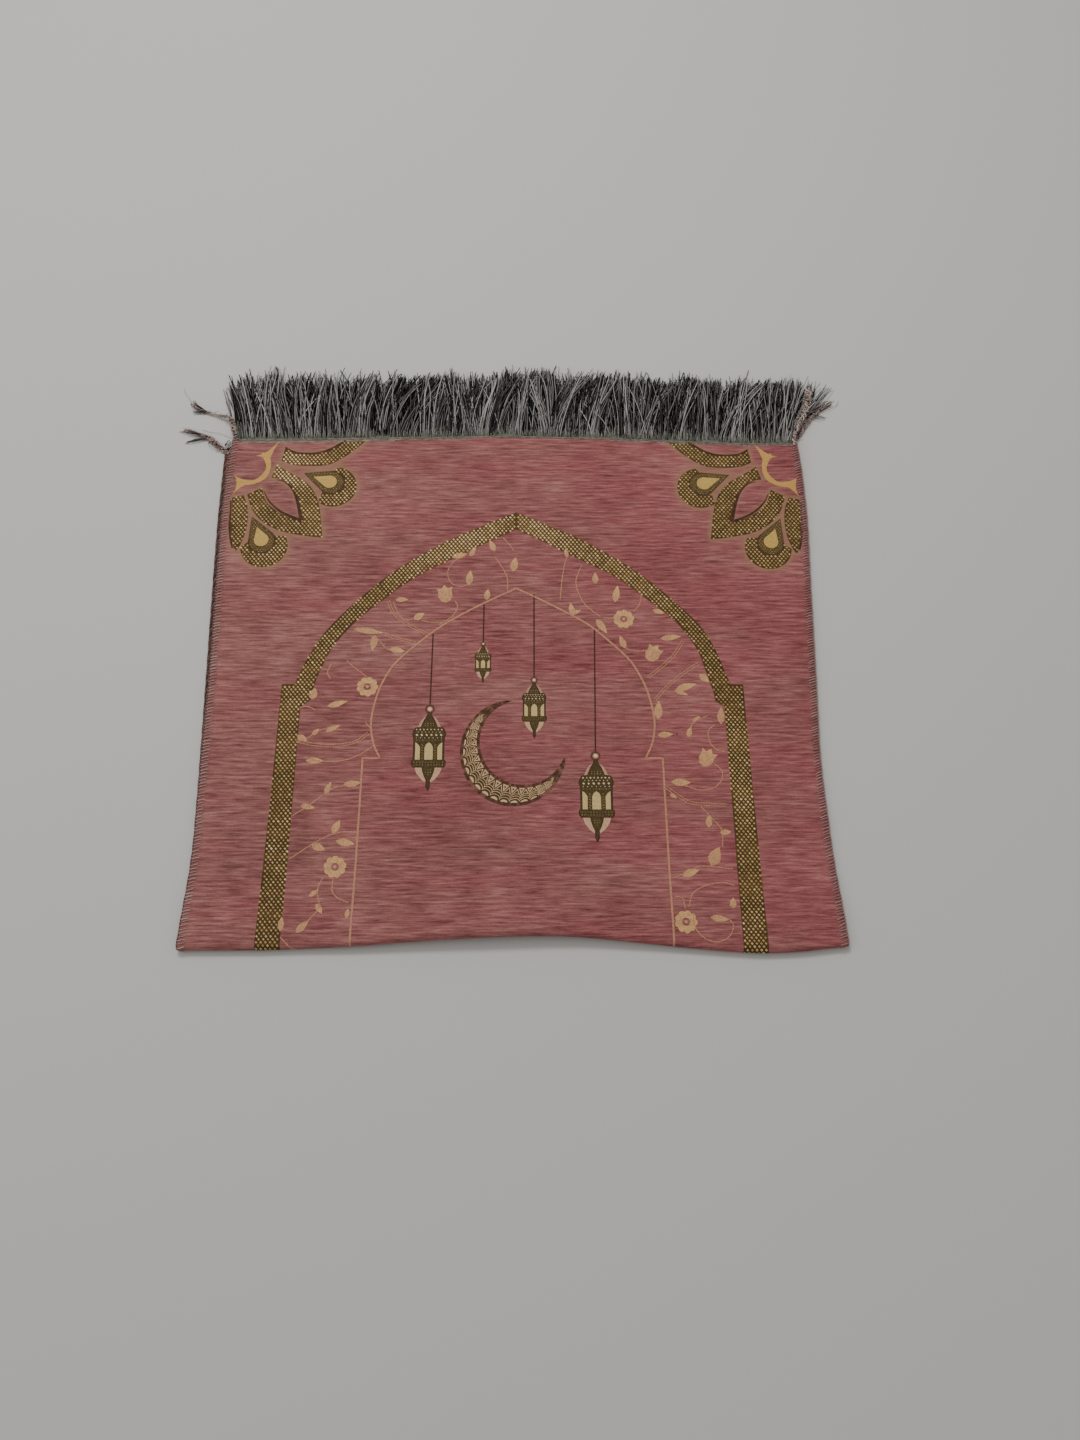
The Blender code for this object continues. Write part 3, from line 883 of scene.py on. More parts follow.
@dataclass
class FiguredBands:
    """The arch band, its columns and the corner rosettes: gold floats on an olive ground."""

    float_pitch: tuple = (4.6, 2.87)
    float_half: tuple = (1.62, 1.58)
    # Half size of the dark lozenges painted as shade in the gaps between the floats.
    gap_shade_half: tuple = (1.0, 0.95)
    margin: float = 0.5
    samples: int = 90
    outer_arch: tuple = (
        (0, 199), (-20, 190), (-70, 166), (-120, 135), (-160, 102), (-200, 60), (-220, 30), (-235, -4),
        (-240, -22))
    inner_arch: tuple = (
        (0, 177), (-20, 167), (-60, 145), (-110, 117), (-150, 85), (-177, 60), (-200, 30), (-212, 2),
        (-219, -22))
    # Where the arch meets its column.
    shoulder: tuple = ((-240, -20), (-219, -20), (-220.5, -33), (-230, -40), (-240, -40))
    column_top: float = -14.0
    column_out: tuple = ((-800, -257), (-290, -257), (-150, -254), (-14, -252))
    column_in: tuple = ((-800, -232), (-290, -232), (-150, -231), (-14, -230))
    # Where the gold weft catches the light, painted into its tone as highlights, with one painted shade where
    # the amount is below 0: x, run, reach across, reach along, and how much.
    painted_shines: tuple = (
        (0, 165, 180, 66, 0.4), (-258, 264, 36, 24, 0.55), (-264, 243, 26, 14, 0.4),
        (-226, 226, 18, 26, -0.18), (-211, 212, 24, 24, 0.22), (-268, 155, 30, 16, 0.18),
        (-243, -50, 30, 45, 0.16), (236, -150, 30, 55, 0.16))
    floats_end: float = -352.0

    def column_lines(self) -> tuple[Array, Array]:
        """Give the left column's outer and inner lines from its shoulder round the fold to the underside."""
        runs = down_the_fold(self.column_top)
        sides = (self.column_out, self.column_in)
        return tuple(joined(read(table, runs), runs) for table in sides)

    def tone_and_shine(self, x: Array, run: Array) -> Array:
        """Give the tone of the gold weft at each place: a slow wave, with the painted highlights and shade
        added.
        """
        shade = 0.46 + 0.08 * np.sin(x * 0.055 + 1.9 * np.sin(run * 0.031 + 0.02 * x))
        for cx, cy, wide, tall, much in self.painted_shines:
            shade = shade + much * np.exp(-((x - cx) / wide) ** 2 - ((run - cy) / tall) ** 2)
        return shade

    def build(self, rosette: "CornerRosette") -> list[Piece]:
        """Build the olive ground, the gold floats and the dark lozenges of painted shade in the gaps between
        them, of every figured band.
        """
        ground, gold, holes = FlatWork(11), FlatWork(12), FlatWork(13)
        regions: list[Array] = []

        def band(left: Array, right: Array) -> None:
            """Weave a band between two lines."""
            # The olive ground of the bands takes the same painted highlights.
            shade = self.tone_and_shine(*left.T) + ground.dice.uniform(-0.3, 0.3, len(left))
            ground.strip(left, right, FLUSH, np.clip(shade, 0, 1))
            regions.append(np.vstack([left, right[::-1]]))

        def field(outline: Array) -> None:
            """Weave inside an outline."""
            ground.patch(outline, FLUSH)
            regions.append(outline)

        arches = (self.outer_arch, self.inner_arch)
        outer, inner = (spread(through(line, 3.0), self.samples) for line in arches)
        shoulder = np.array(self.shoulder, float)
        out, inn = self.column_lines()
        band(outer, inner)
        band(across(outer), across(inner))
        field(shoulder)
        field(across(shoulder))
        band(out, inn)
        band(across(out), across(inn))
        for strips, outlines in (rosette.band_strips(False), rosette.band_strips(True)):
            for left, right in strips:
                band(left, right)
            for outline in outlines:
                field(outline)
        # The second kind, dark lozenges half a pitch aside and kept dim, is painted shade in the gaps between
        # the floats.
        kinds = ((gold, self.float_half, 0.0, PROUD, 1.0),
                 (holes, self.gap_shade_half, self.float_pitch[0] / 2, FLUSH + 0.06, 0.3))
        for work, half, shift, high, strength in kinds:
            centres = diagonal_grid(regions, self.float_pitch, self.margin, shift)
            centres = centres[centres[:, 1] > self.floats_end]
            tones = np.clip(self.tone_and_shine(*centres.T) + work.dice.normal(0, 0.16, len(centres)), 0, 1)
            work.floats(centres, half, high, strength * tones)
        return [lay_down("figured_band_ground", ground, Finish.OLIVE),
                lay_down("figured_band_floats", gold, Finish.GOLD),
                lay_down("figured_band_painted_shade", holes, Finish.UMBER)]


@dataclass
class CornerRosette:
    """A quarter rosette at each far corner: scalloped ring, pointed petal, two drop and two cut petals."""

    axis: float = 1.0
    ring_centre: tuple = (-310.0, 259.5)
    ring_radius: float = 21.5
    ring_width: float = 5.2
    scallop: float = 1.6
    samples: int = 34
    # Each gold band's two sides: the pointed petal's two halves, then the two cut petals.
    pairs: tuple = (
        (((-279, 262), (-262, 251), (-245, 240), (-233, 225), (-226, 205), (-223, 186), (-220, 165)),
         ((-284, 245), (-274, 243), (-263, 236), (-254, 222), (-248, 206), (-245, 194), (-243, 186))),
        (((-310, 222), (-302, 201), (-288, 185), (-268, 174), (-246, 169), (-234, 167), (-221, 165.5)),
         ((-294, 231), (-288, 214), (-277, 202), (-263, 193), (-251, 189), (-242, 185), (-232, 180))),
        (((-271, 285), (-261, 279), (-248, 277), (-234, 277.5), (-220, 282), (-208, 290), (-199, 296)),
         ((-274, 268), (-262, 263), (-248, 261), (-232, 261), (-216, 264), (-198, 276), (-177, 296))),
        (((-327, 218), (-325.5, 200), (-325, 184), (-323, 168), (-320, 156), (-318, 148)),
         ((-314, 221), (-308.5, 206), (-306.5, 188), (-308, 170), (-312, 156), (-316, 148))))
    # Each gold crescent round a drop petal: its centre, its hub, and its two ends in degrees.
    crescents: tuple = (((-211.5, 233), (-214.5, 238), 82, -128), ((-285, 154), (-288, 160), 30, -178))
    crescent_radii: tuple = (26.5, 15.5)
    # Each drop petal: its hub, its tip and the tip of its cream core.
    drop_tips: tuple = (
        ((-214.5, 238.5), (-247, 251), (-235.5, 246)), ((-288, 160.5), (-302, 193), (-295, 179)))
    drop_radii: tuple = (15.8, 8.3)
    spurs: tuple = (((-304.5, 274), (-276.5, 298), (-289, 257)), ((-327.5, 249), (-327, 221), (-301, 240)))
    # Each dark line along a band: its points, then its widths from end to end.
    lines: tuple = (
        (((-277, 242), (-268, 239), (-258, 228), (-251, 210), (-245.5, 188)), (0.8, 2.2, 3.2, 4.0)),
        (((-245.5, 188), (-258, 193), (-272, 201), (-284, 213), (-291, 226)), (3.8, 3.0, 2.4, 0.8)),
        (((-271, 286), (-261, 280), (-248, 278), (-234, 278.5), (-220, 283), (-208, 291), (-201, 296)),
         (1.6, 2.8, 2.6)),
        (((-328, 214), (-327, 200), (-326.5, 184), (-324.5, 168), (-320.5, 152)), (1.4, 2.6, 2.0)))

    def side(self, points: Array, right: bool) -> Array:
        """Give points for the left rosette, or mirrored for the right one."""
        return mirrored(points, self.axis) if right else np.asarray(points, float)

    def band_strips(self, right: bool) -> tuple[list, list]:
        """Give the gold bands of one rosette as pairs of lines, and as outlines."""
        strips, outlines = [], []
        for pair in self.pairs:
            lines = (spread(evenly(through(line, 2.0), 2.0), self.samples) for line in pair)
            strips.append(tuple(self.side(line, right) for line in lines))
        wide, small = self.crescent_radii
        for centre, hub, start, end in self.crescents:
            ring = np.vstack([arc(*centre, wide, start, end), arc(*hub, small, end, start)])
            outlines.append(self.side(ring, right))
        return strips, outlines

    def outlines(self) -> list[Array]:
        """Give the outline of each gold or dark figure of both rosettes."""
        found = []
        for right in (False, True):
            strips, rings = self.band_strips(right)
            found += [np.vstack([left, other[::-1]]) for left, other in strips] + rings
            found += [self.side(dark, right) for dark, _ in self.drops()]
        return found

    def drops(self) -> list[tuple[Array, Array]]:
        """Give the dark and the cream outline of both drop petals."""
        found = []
        wide, small = self.drop_radii
        for hub, tip, cream_tip in self.drop_tips:
            toward = math.atan2(tip[1] - hub[1], tip[0] - hub[0])
            lean = math.degrees(toward)
            centre = (hub[0] + 2.0 * math.cos(toward), hub[1] + 2.0 * math.sin(toward))
            found.append((np.vstack([arc(*hub, wide, lean + 68, lean + 292, 2.5), [tip]]),
                          np.vstack([arc(*centre, small, lean + 62, lean + 298, 1.5), [cream_tip]])))
        return found

    def spur(self, tips: tuple) -> Array:
        """Give a three-pointed outline with hollow sides between its tips."""
        middle = np.mean(np.array(tips, float), axis=0)
        t = (np.arange(6) / 6)[:, None]
        sides = []
        for a, b in zip(np.array(tips, float), np.array(tips[1:] + tips[:1], float)):
            pull = middle + 0.12 * ((a + b) / 2 - middle)
            sides.append((1 - t) ** 2 * a + 2 * t * (1 - t) * pull + t * t * b)
        return np.vstack(sides)

    def build(self, russet: FlatWork, fleck: FlatWork) -> list[Piece]:
        """Build the cream ring and drops and the dark drop petals, and draw their outlines and flecks."""
        cream, dark = FlatWork(21), FlatWork(22)
        for right in (False, True):
            ring = arc(*self.ring_centre, self.ring_radius, 56, -128, 2.5)
            width = self.ring_width + self.scallop * np.sin(np.linspace(0, math.pi, len(ring)) * 3) ** 2
            cream.ribbon(self.side(ring, right), width, FLUSH + 0.04, 0.3)
            for tips in self.spurs:
                cream.patch(self.side(self.spur(tips), right), FLUSH + 0.02, 0.3)
            for outline, drop in self.drops():
                dark.patch(self.side(outline, right), FLUSH - 0.03, 0.7)
                cream.patch(self.side(drop, right), PROUD, 0.6)
                rim = evenly(shrunk(outline, 0.9)[:-1], 2.5)
                russet.floats(self.side(rim, right), (1.25, 1.1), PROUD - 0.05, np.full(len(rim), 0.1))
                specks = diagonal_grid([outline], (3.3, 2.3), 2.2)
                specks = specks[~inside(specks, shrunk(drop, -1.4))]
                fleck.floats(self.side(specks, right), (0.85, 0.7), PROUD - 0.08,
                             fleck.dice.uniform(0.1, 0.6, len(specks)))
            for line, widths in self.lines:
                soft = through(line, 2.5)
                russet.ribbon(self.side(soft, right), spread(widths, len(soft)), FLUSH + 0.05,
                              russet.dice.uniform(0.0, 0.45, len(soft)))
        return [lay_down("rosette_cream_figures", cream, Finish.CREAM),
                lay_down("rosette_dark_figures", dark, Finish.UMBER)]


@dataclass
class InnerArch:
    """The thin line inside the band, with its two small shoulders."""

    width: float = 2.1
    arch: tuple = (
        (0, 102), (-40, 81), (-80, 57), (-110, 32), (-131, 11), (-144, -12), (-151, -35), (-154, -58),
        (-151, -80), (-143, -98))
    column: tuple = ((-700, -163), (-290, -163), (-98, -161))  # run and x, from the underside up

    def build(self, figure: FlatWork) -> None:
        """Draw both halves into the figure."""
        runs = down_the_fold(self.column[-1][0])
        column = joined(read(self.column, runs), runs)
        shoulder = evenly(np.array([self.arch[-1], self.column[-1][::-1]]), 4.0)
        left = np.vstack([through(self.arch, 4.0), shoulder[1:], column[1:]])
        for line in (left, across(left)):
            figure.ribbon(line, self.width, PROUD, figure.dice.uniform(0.0, 0.22, len(line)))


@dataclass
class VineField:
    """Tendrils, leaves, buds and round flowers between the band and the inner line, other on each side."""

    tendril_width: float = 1.05
    swell: float = 0.45
    double_gap: float = 2.6
    flower_radius: float = 11.8
    tendrils: tuple = (
        ((-10, 100), (-10, 114), (-15, 127), (-24, 141)), ((-3, 150), (-9, 159), (-15, 166)),
        ((-58, 142), (-70, 136), (-77, 122), (-73, 109), (-63, 104), (-54, 107), (-52, 113)),
        ((-85, 57), (-71, 67), (-65, 79), (-68, 86)), ((-104, 62), (-94, 60), (-82, 60)),
        ((-108, 66), (-122, 63), (-131, 72), (-136, 84)), ((-160, 44), (-150, 38), (-141, 28), (-126, 23)),
        ((-161, -6), (-168, 0), (-178, 8), (-184, 14)), ((-200, -8), (-204, 0), (-200, 11)),
        ((-231, -41), (-222, -40), (-214, -44)), ((-232, -80), (-222, -77), (-210, -68), (-192, -62)),
        ((-160, -58), (-154, -66), (-150, -80)),
        ((-222, -97), (-205, -101), (-185, -101), (-166, -95), (-150, -84)),
        ((-231, -161), (-216, -151), (-200, -138), (-188, -130), (-165, -126)),
        ((-230, -206), (-213, -194), (-197, -184), (-181, -178), (-163, -178)),
        ((-194, -224), (-199, -238), (-196, -255), (-205, -268), (-215, -279)),
        ((-184, -227), (-184, -239), (-178, -246), (-167, -251)), ((-232, -285), (-222, -294), (-212, -298)),
        ((49, 88), (51, 110), (54, 130), (58, 145)), ((93, 67), (78, 80), (70, 95), (67, 112), (74, 132)),
        ((97, 66), (102, 65), (108, 65)), ((130, 73), (137, 82), (140, 95)),
        ((118, 31), (125, 26), (140, 25), (148, 27)),
        ((212, -60), (205, -68), (206, -80), (212, -88), (222, -91)),
        ((186, -70), (188, -60), (196, -54), (206, -50)),
        ((209, -104), (217, -113), (214, -125), (204, -132), (190, -133), (177, -128)),
        ((192, -151), (203, -164), (212, -176), (212, -194)),
        ((160, -226), (175, -220), (190, -214), (221, -217)),
        ((222, -234), (208, -231), (190, -235), (178, -243), (174, -256)),
        ((160, -245), (168, -247), (170, -258)),
        ((178, -262), (178, -274), (186, -286), (200, -291), (213, -285), (217, -273), (209, -266)))
    doubles: tuple = (
        ((-96, 45), (-110, 52), (-125, 61), (-136, 72), (-142, 86)),
        ((-176, 52), (-155, 49), (-132, 41), (-110, 35)),
        ((-231, -79), (-212, -83), (-192, -84), (-170, -80), (-156, -70)),
        ((143, -6), (158, 6), (172, 20), (183, 37)), ((150, -32), (160, -20), (172, -9), (186, 2), (200, 11)),
        ((157, -130), (170, -140), (182, -147), (200, -149), (219, -150)))
    # Each leaf: x, run, length, width, and the angle it points to in degrees.
    leaves: tuple = (
        (-27, 156, 16, 7, 110), (-52, 115, 19, 8, 82), (-64, 143, 18, 7, 12), (-49, 148, 14, 6, 60),
        (-32, 94, 14, 7, 80), (-2, 132, 19, 9, 78), (-107, 67, 14, 8, 30), (-127, 87, 14, 6, 0),
        (-162, 49, 34, 7, -9), (-156, 35, 20, 8, -98), (-130, 26, 18, 7, -12), (-191, -37, 23, 7, 14),
        (-217, -25, 14, 9, 78), (-226, -76, 13, 7, -30), (-212, -69, 10, 5, 42), (-194, -65, 17, 6, 22),
        (-211, -101, 19, 7, -3), (-215, -151, 15, 6, -14), (-195, -131, 15, 6, 66), (-170, -126, 19, 7, 4),
        (-184, -172, 16, 8, 62), (-201, -194, 15, 8, -24), (-174, -189, 20, 8, -12), (-202, -241, 12, 5, 34),
        (-196, -257, 12, 6, -62), (-211, -275, 17, 7, 42), (-232, -272, 15, 6, 86), (-167, -262, 10, 5, 80),
        (57, 147, 12, 5, 95), (62, 76, 16, 7, 100), (66, 72, 13, 5, 20), (89, 115, 15, 7, 88),
        (112, 95, 22, 8, 78), (94, 55, 21, 8, -58), (117, 36, 17, 7, 108), (158, 73, 14, 6, -20),
        (170, 41, 24, 7, 6), (184, -17, 24, 8, 14), (178, -24, 16, 5, -24), (153, -44, 22, 9, 84),
        (204, -7, 14, 8, -48), (220, -50, 20, 8, 84), (159, -72, 17, 7, 2), (193, -54, 11, 4, 30),
        (185, -69, 12, 6, 70), (173, -125, 21, 8, -5), (200, -167, 14, 7, 84), (216, -179, 12, 6, 0),
        (204, -204, 22, 13, 62), (178, -221, 19, 8, 18), (204, -268, 19, 7, -10), (219, -252, 11, 7, 80),
        (164, -140, 9, 4, -40))
    buds: tuple = ((-79, 93, 96), (149, 21, 60), (201, -99, 62))
    flowers: tuple = ((-160, -17), (-183, -214), (119, 64), (170, -271))
    cup: tuple = (
        (-9, 0), (-7, -5), (-1, -8), (5, -7.5), (10, -9), (8, -3.5), (13, 0), (8, 3.5), (10, 9), (5, 7.5),
        (-1, 8), (-7, 5))

    def leaf(self, figure: FlatWork, x: float, run: float, length: float, width: float, angle: float) -> None:
        """Draw a pointed leaf about its middle, a little fuller towards its stem."""
        t = np.linspace(0, 1, 7)
        half = width / 2 * np.sin(math.pi * t ** 0.8)
        up, down = (joined((t - 0.5) * length, side * half + 0.6 * t) for side in (1, -1))
        outline = np.vstack([up, down[::-1][1:-1]])
        tone = 0.72 + 0.5 * outline[:, 0] / length + figure.dice.uniform(-0.15, 0.12)
        figure.patch(self.turned(outline, x, run, angle), FLUSH + 0.06, np.clip(tone, 0.2, 1))

    def turned(self, outline: Array, x: float, run: float, angle: float) -> Array:
        """Turn an outline about the origin and move it to its place."""
        cos, sin = math.cos(math.radians(angle)), math.sin(math.radians(angle))
        return outline @ np.array([[cos, sin], [-sin, cos]]) + (x, run)

    def flower(self, figure: FlatWork, x: float, run: float) -> None:
        """Draw a round flower with blunt petals, a hollow eye and a ring in it."""
        turn = np.linspace(0, 2 * math.pi, 64, endpoint=False)
        radius = self.flower_radius * (0.98 - 0.13 * np.abs(np.sin(turn * 4.5 + x)) ** 4)
        rim = joined(x + radius * np.cos(turn), run + radius * np.sin(turn))
        hole = arc(x, run, 4.0, 0, 340, 1.4)[::-1]
        tone = np.concatenate([0.9 + 0.1 * np.cos(turn * 3), np.full(len(hole), 0.55)])
        figure.patch(rim, FLUSH + 0.06, tone, (hole,))
        figure.patch(arc(x, run, 1.7, 0, 320, 1.2), FLUSH + 0.02, 0.7)

    def bud(self, figure: FlatWork, x: float, run: float, angle: float) -> None:
        """Draw a cup-shaped bud with three points."""
        cup = np.array(self.cup, float)
        figure.patch(self.turned(cup, x, run, angle), FLUSH + 0.06, 0.75 + 0.2 * np.sin(cup[:, 0]))

    def build(self, figure: FlatWork) -> None:
        """Draw every vine."""
        def beaded(line: Array, width: float) -> None:
            """Draw a thin line that swells and thins as its stitches do."""
            swell = 1 + self.swell * np.cos(np.arange(len(line)) * math.pi)
            figure.ribbon(line, width * swell, FLUSH + 0.08, figure.dice.uniform(0.0, 0.3, len(line)))

        for points in self.tendrils:
            beaded(evenly(through(points, 2.0), 1.3), self.tendril_width)
        for points in self.doubles:
            line = evenly(through(points, 2.0), 1.3)
            beside = left_of(unit(np.gradient(line, axis=0))) * self.double_gap / 2
            for side in (-1, 1):
                beaded(line + side * beside, self.tendril_width * 0.75)
        for draw, places in ((self.leaf, self.leaves), (self.flower, self.flowers), (self.bud, self.buds)):
            for place in places:
                draw(figure, *place)


@dataclass
class Lantern:
    """A hanging lantern: dotted string, ring, dome, beaded frieze, three panes, base, bowl and finial.

    Its parts are drawn at full size about its ring, and scaled into place.
    """

    x: float
    ring_y: float
    scale: float
    string_top: float
    string_lean: float = 0.0
    body: tuple = (
        (-1.4, -4), (-2.4, -8), (-5.0, -12), (-7.0, -17), (-8.6, -20.5), (-14.8, -21.5), (-16.2, -24.5),
        (-17.6, -28), (-16.2, -32), (-15.9, -38), (-15.9, -57), (-17.6, -57.6), (-17.8, -61), (-16.6, -64.6),
        (-6.4, -65), (-5.8, -69), (-4.2, -74), (-1.8, -79), (-1.3, -82), (-2.0, -85), (-0.9, -88), (0, -91))
    pane: tuple = (
        (-4.4, -56.6), (4.4, -56.6), (4.4, -43.4), (3.0, -39.8), (0, -37.6), (-3.0, -39.8), (-4.4, -43.4))
    # Each pale fill that is there on both sides, and its shade: side pane, sliver of the dome, half the bowl.
    fills: tuple = (
        (((-14.2, -56.6), (-9.2, -56.6), (-9.2, -43), (-11.4, -39.6), (-14.2, -37.4)), 0.84),
        (((-3.4, -8.4), (-6.4, -9.8), (-9.6, -14.4), (-12.2, -20.6), (-9.0, -20.4), (-7.6, -16.6),
          (-5.6, -12)),
         0.0),
        (((-6.9, -65.4), (-14.2, -65.4), (-12.2, -71.6), (-8.0, -77.4), (-3.0, -81.6), (-2.2, -79.4),
          (-4.6, -74.4), (-6.3, -69)),
         0.06))
    # Each row of beads: its height, its number of beads, their pitch and their size.
    beads: tuple = ((-23.3, 8, 3.8, 1.2), (-26.2, 7, 3.8, 0.8), (-29.4, 6, 5.1, 1.6), (-32.6, 7, 4.4, 0.8))

    def at(self, points: Points | Array, flip: bool = False) -> Array:
        """Scale points drawn about the ring of a full-size lantern, or their mirror image, into place."""
        pts = np.array(points, float) * self.scale
        if flip:
            pts[:, 0] = -pts[:, 0]
        return pts + (self.x, self.ring_y)

    def marks(self) -> list[tuple[float, float]]:
        """Give the places of the olive flecks: base, between the panes, bowl, dome and under the frieze."""
        marks = [(x, y) for y in (-59.4, -62.4) for x in np.arange(-15, 16, 3.0)]
        for x in (-7.4, -6.2, 6.2, 7.4):
            marks += [(x, y) for y in np.arange(-55.5 + 0.9 * (abs(x) > 7), -40, 2.9)]
        marks += [(x, y) for x in (-2.6, 0, 2.6) for y in np.arange(-73 + abs(x), -66, 2.6)]
        marks += [(x, y) for x in (-4.4, -1.6, 1.6, 4.4) for y in np.arange(-19, -13.5 - 0.6 * abs(x), 2.5)]
        return marks + [(x, -35.2) for x in np.arange(-13, 14, 3.3)]

    def build(self, dark: FlatWork, pale: FlatWork, russet: FlatWork, fleck: FlatWork) -> None:
        """Draw the lantern.

        Args:
            dark: Takes its body.
            pale: Takes its ring, panes, dome, bowl and beads.
            russet: Takes its outline and its string.
            fleck: Takes its olive flecks.
        """
        both = np.vstack([self.body, mirrored(self.body[:-1], 0)[::-1]])
        dark.patch(self.at(both), FLUSH + 0.02, 0.55)
        rim = evenly(np.vstack([both, both[:1]]), 2.2 / self.scale)[:-1]
        russet.ribbon(self.at(rim), 1.1 * max(self.scale, 0.6), FLUSH + 0.06, 0.2, ring=True)
        ring = self.at(arc(0, 0, 4.3, 0, 340, 1.8))
        russet.ribbon(ring, 1.9 * max(self.scale, 0.7), FLUSH + 0.02, 0.6, ring=True)
        pale.patch(self.at(arc(0, 0.2, 2.8, 0, 330, 1.6)), FLUSH + 0.05, 0.0)
        pale.patch(self.at(arc(0, 0.2, 1.7, 0, 320, 1.2)), FLUSH + 0.09, 1.0)
        pale.patch(self.at(self.pane), PROUD, 0.84)
        for flip in (False, True):
            for outline, tone in self.fills:
                pale.patch(self.at(outline, flip), PROUD, tone)
        for y, count, pitch, size in self.beads:
            row = np.array([((i - (count - 1) / 2) * pitch, y) for i in range(count)])
            pale.floats(self.at(row), (size * self.scale, size * self.scale), PROUD,
                        pale.dice.uniform(0.88, 1.0, count))
        marks = self.marks()
        fleck.floats(self.at(marks), (0.75 * self.scale, 0.75 * self.scale), FLUSH + 0.12,
                     fleck.dice.uniform(0.0, 0.5, len(marks)))
        ends = [(self.x + self.string_lean, self.string_top), (self.x, self.ring_y + 4.2 * self.scale)]
        string = evenly(np.array(ends), 6.0)
        russet.ribbon(string, 1.35, FLUSH, 0.15)
        knots = evenly(string, 2.3)
        russet.floats(knots, (1.05, 0.85), PROUD, russet.dice.uniform(0.0, 0.4, len(knots)))


@dataclass
class CrescentMoon:
    """The crescent between two ellipses, dark and rimmed, with nested arcs outside and triangles inside."""

    # Each side is part of an ellipse: centre x and run, half width, half height, and its two ends in degrees.
    outer: tuple = (-3.4, -91.7, 55.4, 58.6, 90.6, 357.7)
    inner: tuple = (7.8, -79.4, 46.4, 48.0, 104.8, 342.3)
    samples: int = 240
    rim: float = 3.4
    thread: float = 0.74
    cell: float = 9.6
    full_room: float = 13.0  # the width between the rims at which a cell's arcs are full size
    least_room: tuple = (5.5, 5.0)  # a narrower cell gets no arcs, or no triangle
    # Each nested arc: its depth at its feet and how far it swells.
    arcs: tuple = ((1.3, 2.6), (3.6, 2.4), (5.7, 2.0))

    def sides(self) -> list[Array]:
        """Give the outer and the inner line."""
        found = []
        for x, run, half_width, half_height, start, end in (self.outer, self.inner):
            line = arc(0, 0, 1, start, end, 0.02) * (half_width, half_height) + (x, run)
            found.append(spread(evenly(line, 1.0), self.samples))
        return found

    def build(self, dark: FlatWork, pale: FlatWork, russet: FlatWork) -> None:
        """Draw the crescent.

        Args:
            dark: Takes its olive-brown ground.
            pale: Takes its nested arcs and triangles.
            russet: Takes its two rims.
        """
        outer, inner = sides = self.sides()
        dark.patch(np.vstack([outer[::4], inner[::-4][1:-1]]), FLUSH, 0.5)
        length = np.concatenate([[0], np.cumsum(np.linalg.norm(np.diff(outer + inner, axis=0) / 2, axis=1))])
        width = np.linalg.norm(outer - inner, axis=1)

        def spot(along: Array | float, deep: Array | float, from_inside: bool = False) -> Array:
            """Give points by their way along the crescent and their depth from its outer or inner side."""
            along = np.asarray(along, float)
            share = np.asarray(deep, float) / np.maximum(np.interp(along, length, width), 0.1)
            share = np.clip(1 - share if from_inside else share, 0, 1)[..., None]
            near, far = (joined(*(np.interp(along, length, part) for part in line.T)) for line in sides)
            return near + (far - near) * share

        away = length[3:-3:3]
        half = np.minimum(self.rim / 2, np.interp(away, length, width) / 2)
        for from_inside in (False, True):
            russet.ribbon(spot(away, half, from_inside), 2 * half, FLUSH + 0.05,
                          russet.dice.uniform(0.15, 0.95, len(away)))
        turn = np.linspace(0, math.pi, 9)
        for centre in np.arange(11, length[-1] - 8, self.cell):
            foot = centre + self.cell / 2
            room, foot_room = (float(np.interp(at, length, width)) - 2 * self.rim for at in (centre, foot))
            if room < self.least_room[0]:
                continue
            grow = room / self.full_room
            thread = self.thread * min(1.0, grow + 0.1)
            lens = spot(centre - 3.5 * np.cos(turn), self.rim + (0.1 + 2.0 * np.sin(turn)) * grow)
            pale.patch(lens, PROUD, 0.1)
            for deep, swell in self.arcs:
                depth = self.rim + (deep + swell * np.sin(turn)) * grow
                pale.ribbon(spot(centre - self.cell / 2 * np.cos(turn), depth), thread, PROUD,
                            pale.dice.uniform(0.1, 0.22))
            notch = spot(centre + np.array([-2.6, 0, 2.6]) * min(1.0, grow),
                         self.rim + 0.4 * room * np.array([0.95, 0.35, 0.95]), True)
            pale.ribbon(notch, thread, PROUD, 0.14)
            if foot_room < self.least_room[1]:
                continue
            tall, wide = 0.43 * foot_room, 3.7 * min(1.0, foot_room / 11)
            outline = spot(foot + np.array([-wide, 0, wide]), self.rim + np.array([0, tall, 0]), True)
            middle = outline.mean(axis=0)
            pale.patch(outline, PROUD, 0.13, (middle + 0.38 * (outline - middle)[::-1],))
            roof = spot(foot + np.array([-wide - 1.2, 0, wide + 1.2]),
                        self.rim + tall * np.array([0.2, 1.32, 0.2]), True)
            pale.ribbon(roof, thread, PROUD, 0.18)


# ---------------------------------------------------------------- fringe


